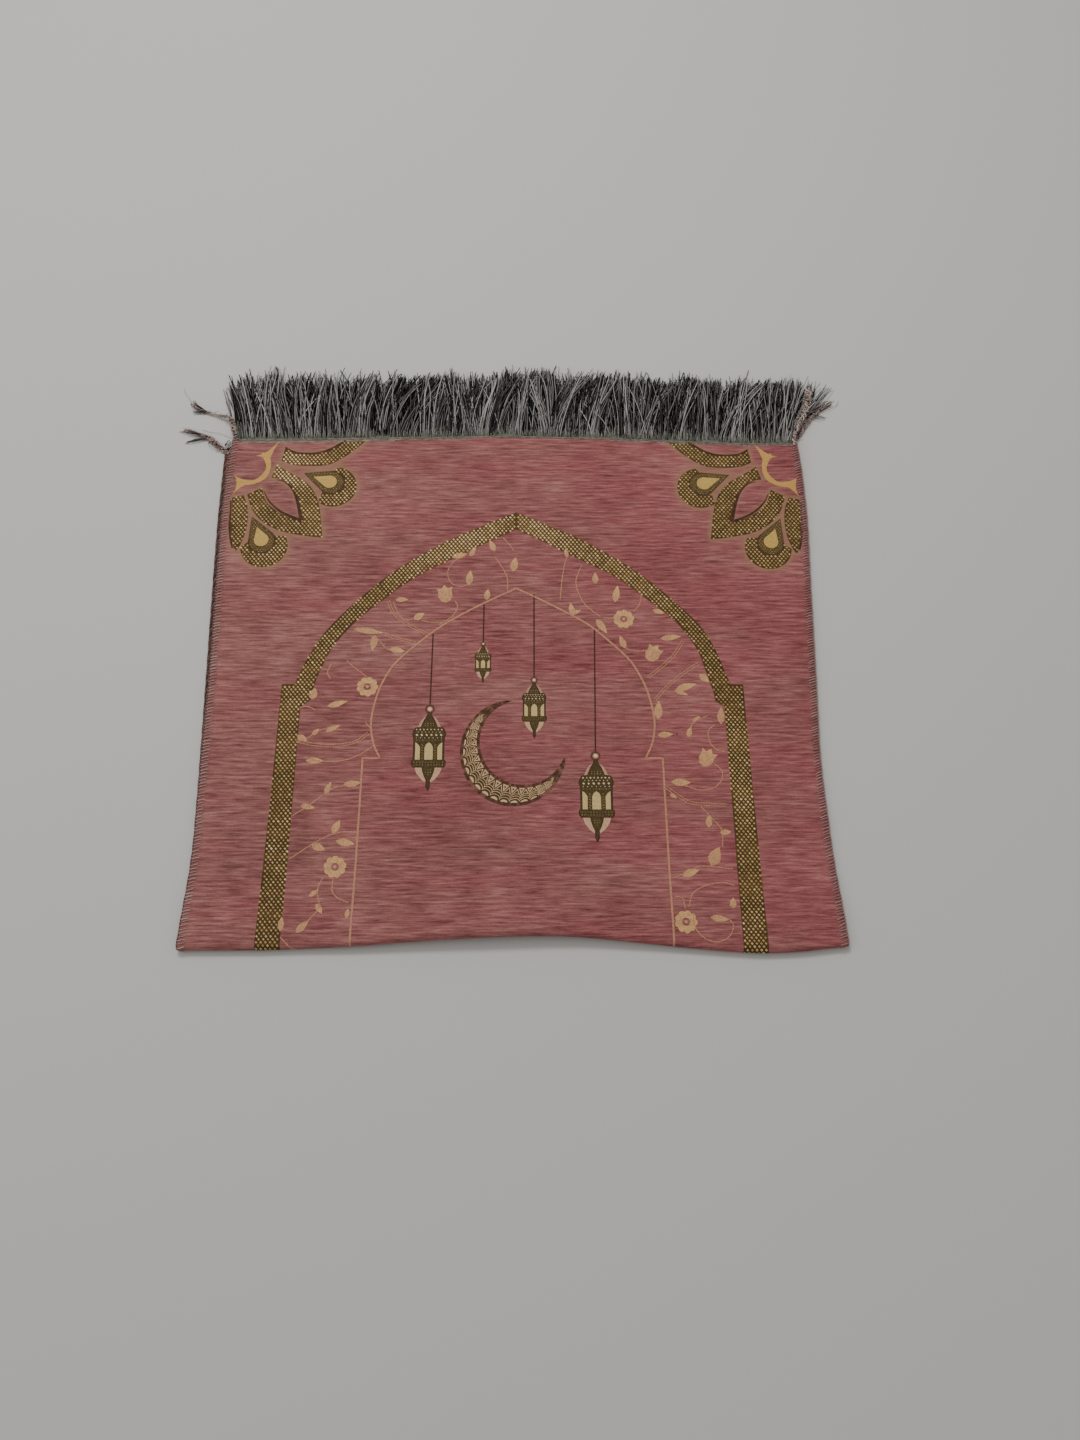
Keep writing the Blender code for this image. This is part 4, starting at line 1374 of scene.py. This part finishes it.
@dataclass
class YarnFringe:
    """One cut end: loose straight warp yarns that leave a narrow woven heading and splay over each other."""

    upper: bool
    yarns: int
    steps: int
    length_mm: float = 85.5
    radius_mm: tuple = (0.42, 0.88)
    heap_mm: float = 9.0
    hump_mm: float = 4.6
    drop_share: float = 0.55  # how far along a yarn has come down from the cloth's end
    tufts: int = 150
    roots: int = 700
    loose_share: float = 0.4
    lean_right: float = 0.62
    taper: tuple = ((0, 1.0), (0.7, 0.95), (1, 0.7))
    shades: tuple = ((0.0, 0.1), (0.3, 0.36), (0.55, 0.53), (0.8, 0.71), (1.2, 0.98))
    fan: tuple = (
        (-335, -0.27), (-300, -0.20), (-240, -0.08), (-120, 0.03), (0, -0.02), (120, 0.04), (220, 0.10),
        (290, 0.20), (335, 0.30))
    # Each pick over the face: how far in from the cut end, its shade, and the x it runs from and to.
    picks: tuple = (
        (0.9, 0.42, -400, 400), (2.2, 0.36, -400, 400), (3.5, 0.5, -400, -55), (4.8, 0.66, -400, -140),
        (3.5, 0.5, 110, 400))
    # Each band of the heading: where it starts and ends past the cut end, half its thickness, its shade.
    heading: tuple = ((0.35, 2.0, 1.0, 0.42), (2.0, 3.9, 0.8, 0.24))
    # How much darker the yarns lie, by x.
    dark: tuple = (
        (-330, 0.0), (-230, 0.04), (-160, 0.23), (-90, 0.14), (0, 0.06), (90, 0.03), (160, 0.05), (240, 0.08),
        (330, 0.04))
    # Furthest that a yarn leans to the left, by x.
    lean_left: tuple = ((-335, -0.22), (-305, -0.34), (-260, -0.6))
    seed: int = 41

    @property
    def name(self) -> str:
        """Name of its layer."""
        return "upper" if self.upper else "lower"

    @property
    def ahead(self) -> float:
        """Way out of the cloth at its cut end, along the run."""
        return 1.0 if self.upper else -1.0

    def ends(self) -> tuple[float, float]:
        """Give the x of the outermost yarns."""
        sides = (LAY.upper_left, LAY.upper_right) if self.upper else (LAY.lower_left, LAY.lower_right)
        left, right = (float(read_smooth(table, 292)) for table in sides)
        return left + (3.0 if self.upper else 9.0), right - 3.0

    def end_line(self, x: Array) -> Array:
        """Give the y of the cloth's cut end at x."""
        return read_smooth(LAY.upper_end if self.upper else LAY.lower_end, x)

    def root_height(self, x: Array, y: Array) -> Array:
        """Give the height of the cloth's middle at its cut end."""
        return LAY.upper_height(x, y) if self.upper else np.full(np.shape(x), LAY.lower_mid)

    def clumps(self, x: Array, dice: np.random.Generator) -> Array:
        """Give a lean that neighbouring yarns share, smooth in x at two sizes."""
        total = np.zeros(len(x))
        for pitch, size in ((46.0, 0.09), (15.0, 0.08)):
            grid = np.arange(-400, 401, pitch)
            total += np.interp(x + dice.uniform(0, pitch), grid, dice.normal(0, size, len(grid)))
        return total

    def yarn_piece(self) -> Piece:
        """Spin the loose yarns, most of them drawn together into tufts that lean over each other."""
        dice = np.random.default_rng(self.seed)
        low, high = self.ends()
        n = self.yarns
        tuft = np.sort(dice.uniform(low, high, self.tufts))
        tuft_lean = read(self.fan, tuft) + self.clumps(tuft, dice) + dice.normal(0, 0.15, self.tufts)
        tuft_long = dice.normal(1.0, 5.5, self.tufts)
        tuft_bow = dice.normal(0, 2.4, self.tufts)
        tuft_high = dice.random(self.tufts)
        x = np.sort(dice.uniform(low, high, n))
        mine = np.clip(np.searchsorted(tuft, x + dice.normal(0, 3.6, n)), 0, self.tufts - 1)
        loose = dice.random(n) < self.loose_share
        lean = np.where(
            loose, read(self.fan, x) + dice.normal(0, 0.25, n), tuft_lean[mine] + dice.normal(0, 0.07, n))
        lean = np.clip(lean, read(self.lean_left, x), self.lean_right)
        pull = np.where(loose, 0.0, np.clip(tuft[mine] - x, -9, 9) * dice.uniform(0.1, 0.9, n))
        length = self.length_mm + np.where(
            loose, dice.normal(-4.0, 7.0, n), tuft_long[mine] + dice.normal(0, 5.0, n))
        t = np.linspace(0, 1, self.steps)
        sway = np.where(loose, dice.normal(0, 2.6, n), tuft_bow[mine] + dice.normal(0, 0.7, n))
        wave = dice.normal(0, 1.3, n)[:, None] * np.sin(2 * math.pi * t + dice.uniform(0, 6, n)[:, None])
        bow = sway[:, None] * np.sin(math.pi * t ** 1.3) + wave
        start_y = self.end_line(x) + 0.4
        height = self.root_height(x, start_y) + dice.uniform(-0.75, 0.75, n)
        reach = length[:, None]
        px = x[:, None] + reach * np.sin(lean)[:, None] * t ** 1.4 + pull[:, None] * t ** 1.6 + bow * t
        py = start_y[:, None] + reach * t * np.cos(lean)[:, None] ** 0.8
        layer = np.where(loose, dice.random(n), np.clip(tuft_high[mine] + dice.normal(0, 0.28, n), 0, 1))
        layer = layer ** (1.0 if self.upper else 1.8)
        rest = 0.75 + self.heap_mm * layer * (1.0 if self.upper else 0.5)
        hold = ease(t / self.drop_share)
        pz = (height[:, None] * hold + rest[:, None] * (1 - hold) * (1 - 0.5 * t ** 2)
              + self.hump_mm * layer[:, None] * np.sin(math.pi * t ** 0.8)
              + dice.normal(0, 0.35, (n, self.steps)) * t)
        radius = dice.uniform(*self.radius_mm, n)
        pz = np.maximum(pz, radius[:, None] + 0.05)
        # Yarns that lie higher in the heap are made lighter and lower ones darker: painted shade under the
        # upper yarns.
        kinds = dice.random(n) + 0.5 * (layer - 0.5) - read(self.dark, x)
        tones = read(self.shades, kinds)
        work = StrandWork()
        work.spin(LAY.metres(joined(px, py, pz)), radius[:, None] * read(self.taper, t) * MM, 3,
                  tones[:, None] + 0.07 * t ** 3)
        thing = work.make(f"fringe_{self.name}_yarns", Finish.FRINGE)
        return finish_piece(thing, (f"fringe_{self.name}",))

    def root_piece(self) -> Piece:
        """Stand a comb of short upright warp ends over the roots, where the weave still holds them."""
        dice = np.random.default_rng(self.seed + 10)
        low, high = self.ends()
        n = self.roots
        x = np.linspace(low, high, n) + dice.normal(0, 0.35, n)
        length = 8.0 + 18.0 * dice.random(n) ** 1.3
        t = np.linspace(0, 1, 5)
        start = self.end_line(x) + 0.6
        height = self.root_height(x, start) + (1.0 if self.upper else 0.4)
        px = x[:, None] + (length * (read(self.fan, x) * 0.5 + dice.normal(0, 0.1, n)))[:, None] * t ** 1.5
        py = start[:, None] + length[:, None] * t
        pz = height[:, None] + 1.1 * np.sin(math.pi * 0.6 * t) + dice.uniform(-0.3, 0.5, (n, 1)) * t
        work = StrandWork()
        work.spin(LAY.metres(joined(px, py, pz)),
                  dice.uniform(0.32, 0.5, (n, 1)) * np.interp(t, [0, 1], [1, 0.6]) * MM, 3,
                  dice.uniform(0.35, 0.9, n))
        return finish_piece(work.make(f"fringe_{self.name}_root_comb", Finish.HEADING))

    def heading_piece(self) -> Piece:
        """Weave the narrow heading past the cloth's end: two bands of warp, beaten close."""
        low, high = self.ends()
        x = np.linspace(low, high, 150)
        end, ahead = LAY.end_run(x, self.upper), self.ahead
        work = FlatWork(43)
        for near, far, half, tone in self.heading:
            work.strip(joined(x, end + ahead * near), joined(x, end + ahead * far),
                       half, tone + work.dice.uniform(-0.12, 0.12, len(x)), low=-half)
        return lay_down(f"fringe_{self.name}_heading", work, Finish.HEADING)

    def pale_pick(self) -> Piece:
        """Lay the grey picks that close the weave just inside the cut end of the face."""
        low, high = self.ends()
        x = np.linspace(low + 1, high - 1, 220)
        end = LAY.end_run(x, self.upper)
        work = FlatWork(44)
        for inwards, tone, first, last in self.picks:
            here = (x >= first) & (x <= last)
            run = end - self.ahead * inwards + 0.15 * np.sin(x * 0.4 + inwards)
            line = joined(x, run)[here]
            work.ribbon(line, 0.9, FLUSH + 0.05, tone + work.dice.uniform(-0.25, 0.25, len(line)))
        return lay_down(f"fringe_{self.name}_pale_picks", work, Finish.HEADING)

    def build(self) -> list[Piece]:
        """Build the yarns, the comb of roots, the heading and the picks."""
        return [self.yarn_piece(), self.root_piece(), self.heading_piece(), self.pale_pick()]


# ---------------------------------------------------------------- overlocked edges


@dataclass
class OverlockEdge:
    """The thread that binds one long edge of both layers, with a loose tail at each of its ends."""

    side: int
    name: str
    tails: tuple
    pitch_mm: float = 3.6
    reach_mm: float = 6.8
    thread_mm: float = 0.62
    slant_mm: float = -1.4
    tone: tuple = (0.5, 0.78)
    # Darker tones of the stitches round the turn and on the lower layer: painted shade under the fold.
    shaded_under_tone: tuple = (0.12, 0.5)
    # Tones of the two looper threads: the darker one is painted shade along the very edge.
    purl_tone_and_shade: tuple = (0.5, 0.2)
    # A stitch from the face round to the back: share of its reach inwards, and height off the middle.
    stitch: tuple = (
        (1.0, 0.85), (0.93, 1.5), (0.6, 1.62), (0.25, 1.5), (-0.03, 0.8), (-0.09, 0.0), (-0.03, -0.8),
        (0.25, -1.5), (0.6, -1.62), (0.93, -1.5), (1.0, -0.85))
    lengthwise: tuple = (0.0, 1.0, 0.02)  # a direction that no stitch runs along
    overhang_mm: float = 12.0
    looper_mm: float = 0.46
    rope_mm: float = 0.55
    rope_tones: tuple = (0.06, 0.26, 0.45)
    tail_tones: tuple = (0.05, 0.85, 0.25, 0.95, 0.12, 0.75, 0.2, 0.9)
    # Each thinner thread of a tail: its pitch, turned the other way when negative, and its shade.
    tail_threads: tuple = ((4.6, 0.82), (-5.9, 0.66), (7.4, 0.4), (-4.1, 0.95), (9.0, 0.15))
    tail_fibres: int = 80
    fibre_mm: float = 0.13
    seed: int = 61

    def runs(self) -> tuple[float, float]:
        """Give the first and last run of the edge: its upper and its lower cut end."""
        start = float(LAY.end_run(self.side * 329.0, True)) - 1.5
        return start, float(LAY.end_run(self.side * 331.0, False)) + 1.5

    def frame_at(self, run: Array, inwards: Array, out: Array) -> Array:
        """Give points by run, distance in from the edge and height out from the cloth's middle."""
        points = LAY.place(LAY.edge(self.side, run) - self.side * inwards, run, out)
        points[..., 2] = np.maximum(points[..., 2], self.thread_mm * 1.25 * MM)
        return points

    def stitches(self, work: StrandWork, dice: np.random.Generator) -> None:
        """Sew the slanted stitches over the edge, from the face round to the back."""
        first, last = self.runs()
        run = np.arange(first, last, -self.pitch_mm)
        n = len(run)
        run = run + dice.normal(0, 0.22, n)
        reach = self.reach_mm + dice.normal(0, 0.5, n)
        turn, out = np.array(self.stitch).T
        inwards = np.where(turn < 0, turn * self.overhang_mm, turn * reach[:, None])
        slant = -self.slant_mm * np.abs(turn) * dice.uniform(0.7, 1.3, (n, 1))
        points = self.frame_at(run[:, None] + slant, inwards, np.broadcast_to(out, inwards.shape))
        start, _, _ = LAY.turn(LAY.edge(self.side, run))
        # Stitches round the turn and on the lower layer are painted darker as shade under the fold.
        shades = np.where(run > start - 6, dice.uniform(*self.tone, n), dice.uniform(*self.shaded_under_tone, n))
        work.spin(points, self.thread_mm * MM * dice.uniform(0.8, 1.15, n), 4, shades, self.lengthwise)

    def purl(self, work: StrandWork) -> None:
        """Lay the two looper threads that twist along the very edge, and the left edge's dark lower rope."""
        first, last = self.runs()
        run = np.arange(first, last, -self.pitch_mm / 7)
        phase = 2 * math.pi * run / self.pitch_mm
        for turn, tone in zip((0.0, math.pi), self.purl_tone_and_shade):
            inwards = -1.0 + 0.5 * np.cos(phase + turn) + 0.18 * np.sin(run * 0.31)
            points = self.frame_at(run, inwards, 0.62 * np.sin(phase + turn))
            work.spin(points[None], self.looper_mm * MM, 4, tone)
        if self.side > 0:
            return
        start, radius, _ = (float(v) for v in LAY.turn(self.side * 328.0))
        run = np.arange(start - math.pi * radius - 4, last, -0.9)
        for k, tone in enumerate(self.rope_tones):
            phase = run / 1.6 + k * 2 * math.pi / 3 + 0.5 * np.sin(run * 0.21 + k)
            inwards = 0.9 + 1.3 * np.cos(phase) + 0.4 * np.sin(run * 0.09)
            points = self.frame_at(run, inwards, -1.5 - 0.5 * np.sin(phase))
            work.spin(points[None], self.rope_mm * MM, 4, tone)

    def tail(self, work: StrandWork, lift: float, path: tuple, dice: np.random.Generator) -> None:
        """Twist loose dyed yarns along a tail, with thinner threads over them and loose fibre ends.

        Args:
            work: Takes the strands.
            lift: How much paler than usual its threads are.
            path: Its points from end to end as x, y, z and thickness.
            dice: Gives every random value.
        """
        rows = evenly(through([row[:3] for row in path], 1.5), 1.1)
        radius = spread([row[3] for row in path], len(rows))
        along = unit(np.gradient(rows, axis=0))
        side = unit(np.cross(along, (0, 0, 1.0)))
        over = np.cross(side, along)
        away = np.arange(len(rows)) * 1.1

        def wound(pitch: float, wide: float, thread: float, tone: float, wander: float) -> None:
            """Wind one thread about the tail at a pitch, wandering as a loose thread does."""
            fine = np.arange(0, away[-1], min(abs(pitch) / 8, 1.2))
            base, beside, above = (
                joined(*(np.interp(fine, away, part) for part in each.T)) for each in (rows, side, over))
            size = np.interp(fine, away, radius)
            a, b, c = dice.uniform(0, 2 * math.pi, 3)
            stray = np.sin(fine * 0.43 + b) + 0.6 * np.sin(fine * 1.17 + c)
            phase = 2 * math.pi * fine / pitch + a + wander * stray
            size = size * wide * (1 + 0.2 * np.sin(fine * 0.3 + c))
            offset = beside * (np.cos(phase) * 1.25)[:, None] + above * (np.sin(phase) * 0.75)[:, None]
            line = base + offset * size[:, None]
            line[:, 2] = np.maximum(line[:, 2], thread + 0.05)
            work.spin(LAY.metres(line)[None], thread * MM, 4, min(max(tone + lift, 0.0), 1.0))

        thick = float(radius.mean())
        for k, tone in enumerate(self.tail_tones):
            wound(dice.uniform(16, 28), (0.2, 0.5, 0.7, 0.75)[k % 4], 0.24 * thick + 0.1, tone, 0.7)
        for pitch, tone in self.tail_threads:
            wound(pitch, 0.95, 0.3, tone, 1.5)
        fuzz = self.tail_fibres
        at = dice.integers(2, len(rows) - 2, fuzz)
        aside = dice.uniform(0, 2 * math.pi, fuzz)
        aim = side[at] * np.cos(aside)[:, None] + over[at] * np.abs(np.sin(aside))[:, None]
        t = np.linspace(0, 1, 4)[None, :, None]
        reach = dice.uniform(1.0, 4.2, fuzz)[:, None, None]
        hairs = (rows[at][:, None] + aim[:, None] * (radius[at] * 0.7)[:, None, None]
                 + (aim[:, None] * t + along[at][:, None] * t ** 2 * 1.4) * reach)
        hairs[..., 2] = np.maximum(hairs[..., 2], 0.25)
        work.spin(LAY.metres(hairs), self.fibre_mm * MM, 3, dice.uniform(0.2, 0.9, fuzz))

    def build(self) -> Piece:
        """Build the stitches, purl and tails as one piece."""
        dice = np.random.default_rng(self.seed)
        work = StrandWork()
        self.stitches(work, dice)
        self.purl(work)
        for lift, path in self.tails:
            self.tail(work, lift, path, dice)
        thing = work.make(f"overlock_{self.name}", Finish.OVERLOCK)
        return finish_piece(thing, (f"edge_binding_{self.name}",))


@dataclass
class FrayedTails:
    """The dark warp ends that fray out of the edge tails, a bunch at a time, with a few fine strays."""

    # Each bunch: its root and how far it spreads, its tip and how far it spreads, and its number of yarns.
    bunches: tuple = (
        ((-371, 339), 2.0, (-387, 353), 4.5, 12), ((-368, 337.5), 2.2, (-384, 340), 3.6, 10),
        ((-373, 306), 2.2, (-394, 313), 4.2, 14), ((-367, 301), 2.0, (-390, 297), 3.0, 7),
        ((-342.5, 291), 1.2, (-336.5, 295.5), 1.6, 5), ((-340, 284), 2.0, (-334, 292), 3.0, 7),
        ((348, 337), 2.0, (381, 357), 4.4, 15), ((347, 337), 2.2, (378, 380), 4.6, 9),
        ((346, 334), 2.0, (364, 358), 3.4, 9), ((351, 352), 2.2, (362, 382), 6.0, 13),
        ((349, 336), 1.6, (371, 335), 2.2, 5), ((351, 366), 1.6, (356, 381), 3.5, 7),
        ((334, 316), 3.0, (341, 345), 5.0, 12))
    strays: tuple = (
        ((-386, 347), (-391, 356), (-397, 364), (-400, 372)),
        ((-335, 301), (-350, 308), (-364, 311), (-373, 314)),
        ((-363, 302), (-362.5, 292), (-353, 284), (-342, 281)),
        ((346, 336), (362, 350), (372, 366), (384, 376)), ((345, 332), (366, 340), (386, 352), (390, 360)),
        ((320, 312), (321, 324), (330, 326), (334, 314)))
    radius_mm: tuple = (0.26, 0.5)
    stray_mm: float = 0.16
    taper: tuple = ((0, 1.0), (0.6, 0.9), (1, 0.4))
    dark_share: float = 0.62
    seed: int = 71

    def build(self) -> Piece:
        """Spin the frayed ends and the strays."""
        dice = np.random.default_rng(self.seed)
        work = StrandWork()
        t = np.linspace(0, 1, 8)
        bend = np.stack([(1 - t) ** 2, 2 * t * (1 - t), t * t])[:, None, :, None]
        for root, root_spread, tip, tip_spread, count in self.bunches:
            start = np.array(root) + dice.normal(0, root_spread * 0.4, (count, 2))
            end = np.array(tip) + dice.normal(0, tip_spread * 0.6, (count, 2))
            middle = (start + end) / 2 + dice.normal(0, 3.0, (count, 2))
            flat = start[:, None] * bend[0] + middle[:, None] * bend[1] + end[:, None] * bend[2]
            flat[..., 0] += dice.normal(0, 0.5, (count, 1)) * np.sin(t * dice.uniform(4, 12, (count, 1)))
            lift = dice.uniform(0.6, 5.0, (count, 1)) * np.sin(math.pi * (0.25 + 0.75 * t)) + 0.45
            radius = dice.uniform(*self.radius_mm, (count, 1)) * read(self.taper, t)
            kinds = dice.random(count)
            dark, pale = dice.uniform(0, 0.35, count), dice.uniform(0.55, 1.0, count)
            tones = np.where(kinds < self.dark_share, dark, pale)
            work.spin(LAY.metres(np.concatenate([flat, lift[..., None]], axis=2)), radius * MM, 4, tones)
        for points in self.strays:
            flat = evenly(through(points, 3.0), 2.0)
            share = np.linspace(0, 1, len(flat))
            lift = 0.25 + 3.0 * np.sin(math.pi * share) ** 2 * dice.uniform(0.4, 1.0)
            work.spin(LAY.metres(np.column_stack([flat, lift]))[None], self.stray_mm * MM, 4,
                      dice.uniform(0.3, 0.75, 1))
        return finish_piece(work.make("edge_tail_yarns", Finish.FRINGE))


# ---------------------------------------------------------------- studio


@dataclass
class StudioSet:
    """A pale seamless floor, broad soft lights above and the photograph's camera."""

    floor_m: float = 6.0
    lens_mm: float = 27.0
    sensor_mm: float = 36.0
    place: tuple = (0.01155, -0.50738, 1.08694)
    down: float = 1.21409922
    yaw: float = 0.05088815
    roll: float = 0.04811576
    floor_code: str = "#bfbdb9"
    surround_code: str = "#f2f1ef"
    world_strength: float = 0.56
    # Each light: place, target, width, length, watts.
    lights: tuple = (
        ((-0.45, 1.5, 2.3), (0.0, 0.1, 0.0), 0.8, 0.6, 42.0),
        ((-1.6, 0.2, 2.0), (0.0, 0.0, 0.0), 1.6, 1.8, 12.0))

    def camera(self) -> Piece:
        """Set the camera by its angles: down from level, yaw to the right and roll."""
        cos_d, sin_d = math.cos(self.down), math.sin(self.down)
        ahead = Vector((math.sin(self.yaw) * cos_d, math.cos(self.yaw) * cos_d, -sin_d))
        level = Vector((math.cos(self.yaw), -math.sin(self.yaw), 0.0))
        upright = level.cross(ahead)
        right = level * math.cos(self.roll) + upright * math.sin(self.roll)
        top = upright * math.cos(self.roll) - level * math.sin(self.roll)
        data = bpy.data.cameras.new("photo_camera")
        data.sensor_width, data.lens = self.sensor_mm, self.lens_mm
        data.clip_start, data.clip_end = 0.01, 50.0
        camera = bpy.data.objects.new("photo_camera", data)
        camera.matrix_world = Matrix(((right.x, top.x, -ahead.x, self.place[0]),
                                      (right.y, top.y, -ahead.y, self.place[1]),
                                      (right.z, top.z, -ahead.z, self.place[2]), (0, 0, 0, 1)))
        bpy.context.scene.collection.objects.link(camera)
        bpy.context.scene.camera = camera
        return camera

    def floor(self) -> Piece:
        """Lay the floor."""
        bpy.ops.object.select_all(action="DESELECT")
        bpy.ops.mesh.primitive_plane_add(size=self.floor_m, location=(0, 0, 0))
        floor = bpy.context.object
        floor.name = floor.data.name = "studio_floor"
        # Matt painted board: no gloss, no pattern.
        material, _ = new_material("matt_pale_studio_floor", {
            "Base Color": linear(self.floor_code), "Roughness": 0.9, "Specular IOR Level": 0.15})
        floor.data.materials.append(material)
        return floor

    def light(self) -> None:
        """Hang the soft lights and set an even pale surround."""
        for index, (place, target, width, length, watts) in enumerate(self.lights):
            data = bpy.data.lights.new(f"soft_light_{index}", "AREA")
            data.shape, data.size, data.size_y, data.energy = "RECTANGLE", width, length, watts
            lamp = bpy.data.objects.new(data.name, data)
            lamp.location = place
            lamp.rotation_euler = (Vector(target) - Vector(place)).to_track_quat("-Z", "Y").to_euler()
            bpy.context.scene.collection.objects.link(lamp)
        world = bpy.data.worlds.new("pale_surround")
        world.use_nodes = True
        world.node_tree.nodes["Background"].inputs["Color"].default_value = linear(self.surround_code)
        world.node_tree.nodes["Background"].inputs["Strength"].default_value = self.world_strength
        bpy.context.scene.world = world


# ---------------------------------------------------------------- the rug

# Each tail: how much paler its threads are, then its points from end to end as x, y, z and thickness.
LEFT_TAILS = (
    (0.0, ((-389, 350, 1.9, 0.9), (-380, 343, 2.3, 1.3), (-370, 338.5, 2.4, 1.2), (-359, 334.5, 2.8, 1.0),
      (-348, 330.5, 4.4, 1.2), (-339, 326, 7.2, 1.7), (-334, 315, 9.6, 2.5), (-331.5, 304, 9.4, 2.5),
      (-330, 297, 7.6, 1.8))),
    (-0.08, ((-337, 279, 2.4, 2.2), (-344, 285, 2.5, 2.3), (-351, 290, 3.0, 2.4), (-357, 296, 3.3, 2.9),
      (-363, 301, 3.1, 2.2), (-370, 304.5, 2.4, 1.5), (-380, 308, 2.0, 1.2), (-394, 313, 1.5, 0.9))))
RIGHT_TAILS = (
    (0.08, ((353, 373, 7.0, 2.6), (351, 362, 6.8, 4.0), (348, 350, 6.6, 4.2), (343, 337, 7.8, 4.2),
      (335, 323, 9.4, 4.2), (329, 309, 10.6, 3.8), (328, 297, 11.0, 2.4), (328.5, 290, 10.6, 1.7))),
    (0.0, ((327, 289, 1.9, 1.4), (331, 300, 1.9, 1.7), (341, 316, 2.3, 1.9), (353, 333, 2.4, 1.8),
      (366, 347, 2.1, 1.5), (381, 357, 1.6, 1.0))))


@dataclass
class PrayerRug:
    """The whole rug: cloth, woven figures, fringes and overlocked edges."""

    cloth: ChenilleCloth = field(default_factory=ChenilleCloth)
    bands: FiguredBands = field(default_factory=FiguredBands)
    rosette: CornerRosette = field(default_factory=CornerRosette)
    arch: InnerArch = field(default_factory=InnerArch)
    vines: VineField = field(default_factory=VineField)
    moon: CrescentMoon = field(default_factory=CrescentMoon)
    lanterns: tuple = (
        Lantern(-92, -43, 1.0, 45, 0.8), Lantern(-36, 34, 0.51, 83, 0.3), Lantern(19.5, -9, 0.74, 94, 0.3),
        Lantern(84, -95.6, 1.03, 50, 2.2))
    speck: tuple = (171.4, -71.0)  # one dark fleck in the ground

    def figures(self) -> list[Piece]:
        """Weave every figure of the face."""
        russet, fleck = FlatWork(34), FlatWork(35)
        pieces = self.bands.build(self.rosette) + self.rosette.build(russet, fleck)
        line = FlatWork(31)
        self.arch.build(line)
        self.vines.build(line)
        pieces.append(lay_down("vine_and_line_figures", line, Finish.TAN))
        dark, pale = FlatWork(32), FlatWork(33)
        for lantern in self.lanterns:
            lantern.build(dark, pale, russet, fleck)
        self.moon.build(dark, pale, russet)
        dark.floats(np.array([self.speck]), (1.3, 1.1), FLUSH + 0.06, np.zeros(1))
        pieces += [
            lay_down("lantern_and_crescent_ground", dark, Finish.UMBER),
            lay_down("lantern_and_crescent_figures", pale, Finish.CREAM),
            lay_down("figure_outlines", russet, Finish.RUSSET), lay_down("figure_flecks", fleck, Finish.GOLD)]
        return pieces

    def build(self, floor: Piece) -> None:
        cloth = finish_piece(self.cloth.build(self.rosette.outlines()), ("rug_cloth",))
        worked = self.figures()
        worked += YarnFringe(True, 2700, 10).build() + YarnFringe(False, 1400, 6, seed=42).build()
        worked.append(OverlockEdge(-1, "left", LEFT_TAILS, tone=(0.58, 0.86)).build())
        worked.append(OverlockEdge(1, "right", RIGHT_TAILS, pitch_mm=3.2, slant_mm=2.6,
                                   purl_tone_and_shade=(0.78, 0.55), seed=62).build())
        worked.append(FrayedTails().build())


def main() -> None:
    """Build the studio and the rug, and report each piece."""
    logging.basicConfig(level=logging.INFO, format="%(name)s: %(message)s")
    studio = StudioSet()
    studio.camera()
    floor = studio.floor()
    studio.light()
    PrayerRug().build(floor)


if __name__ == "__main__":
    main()
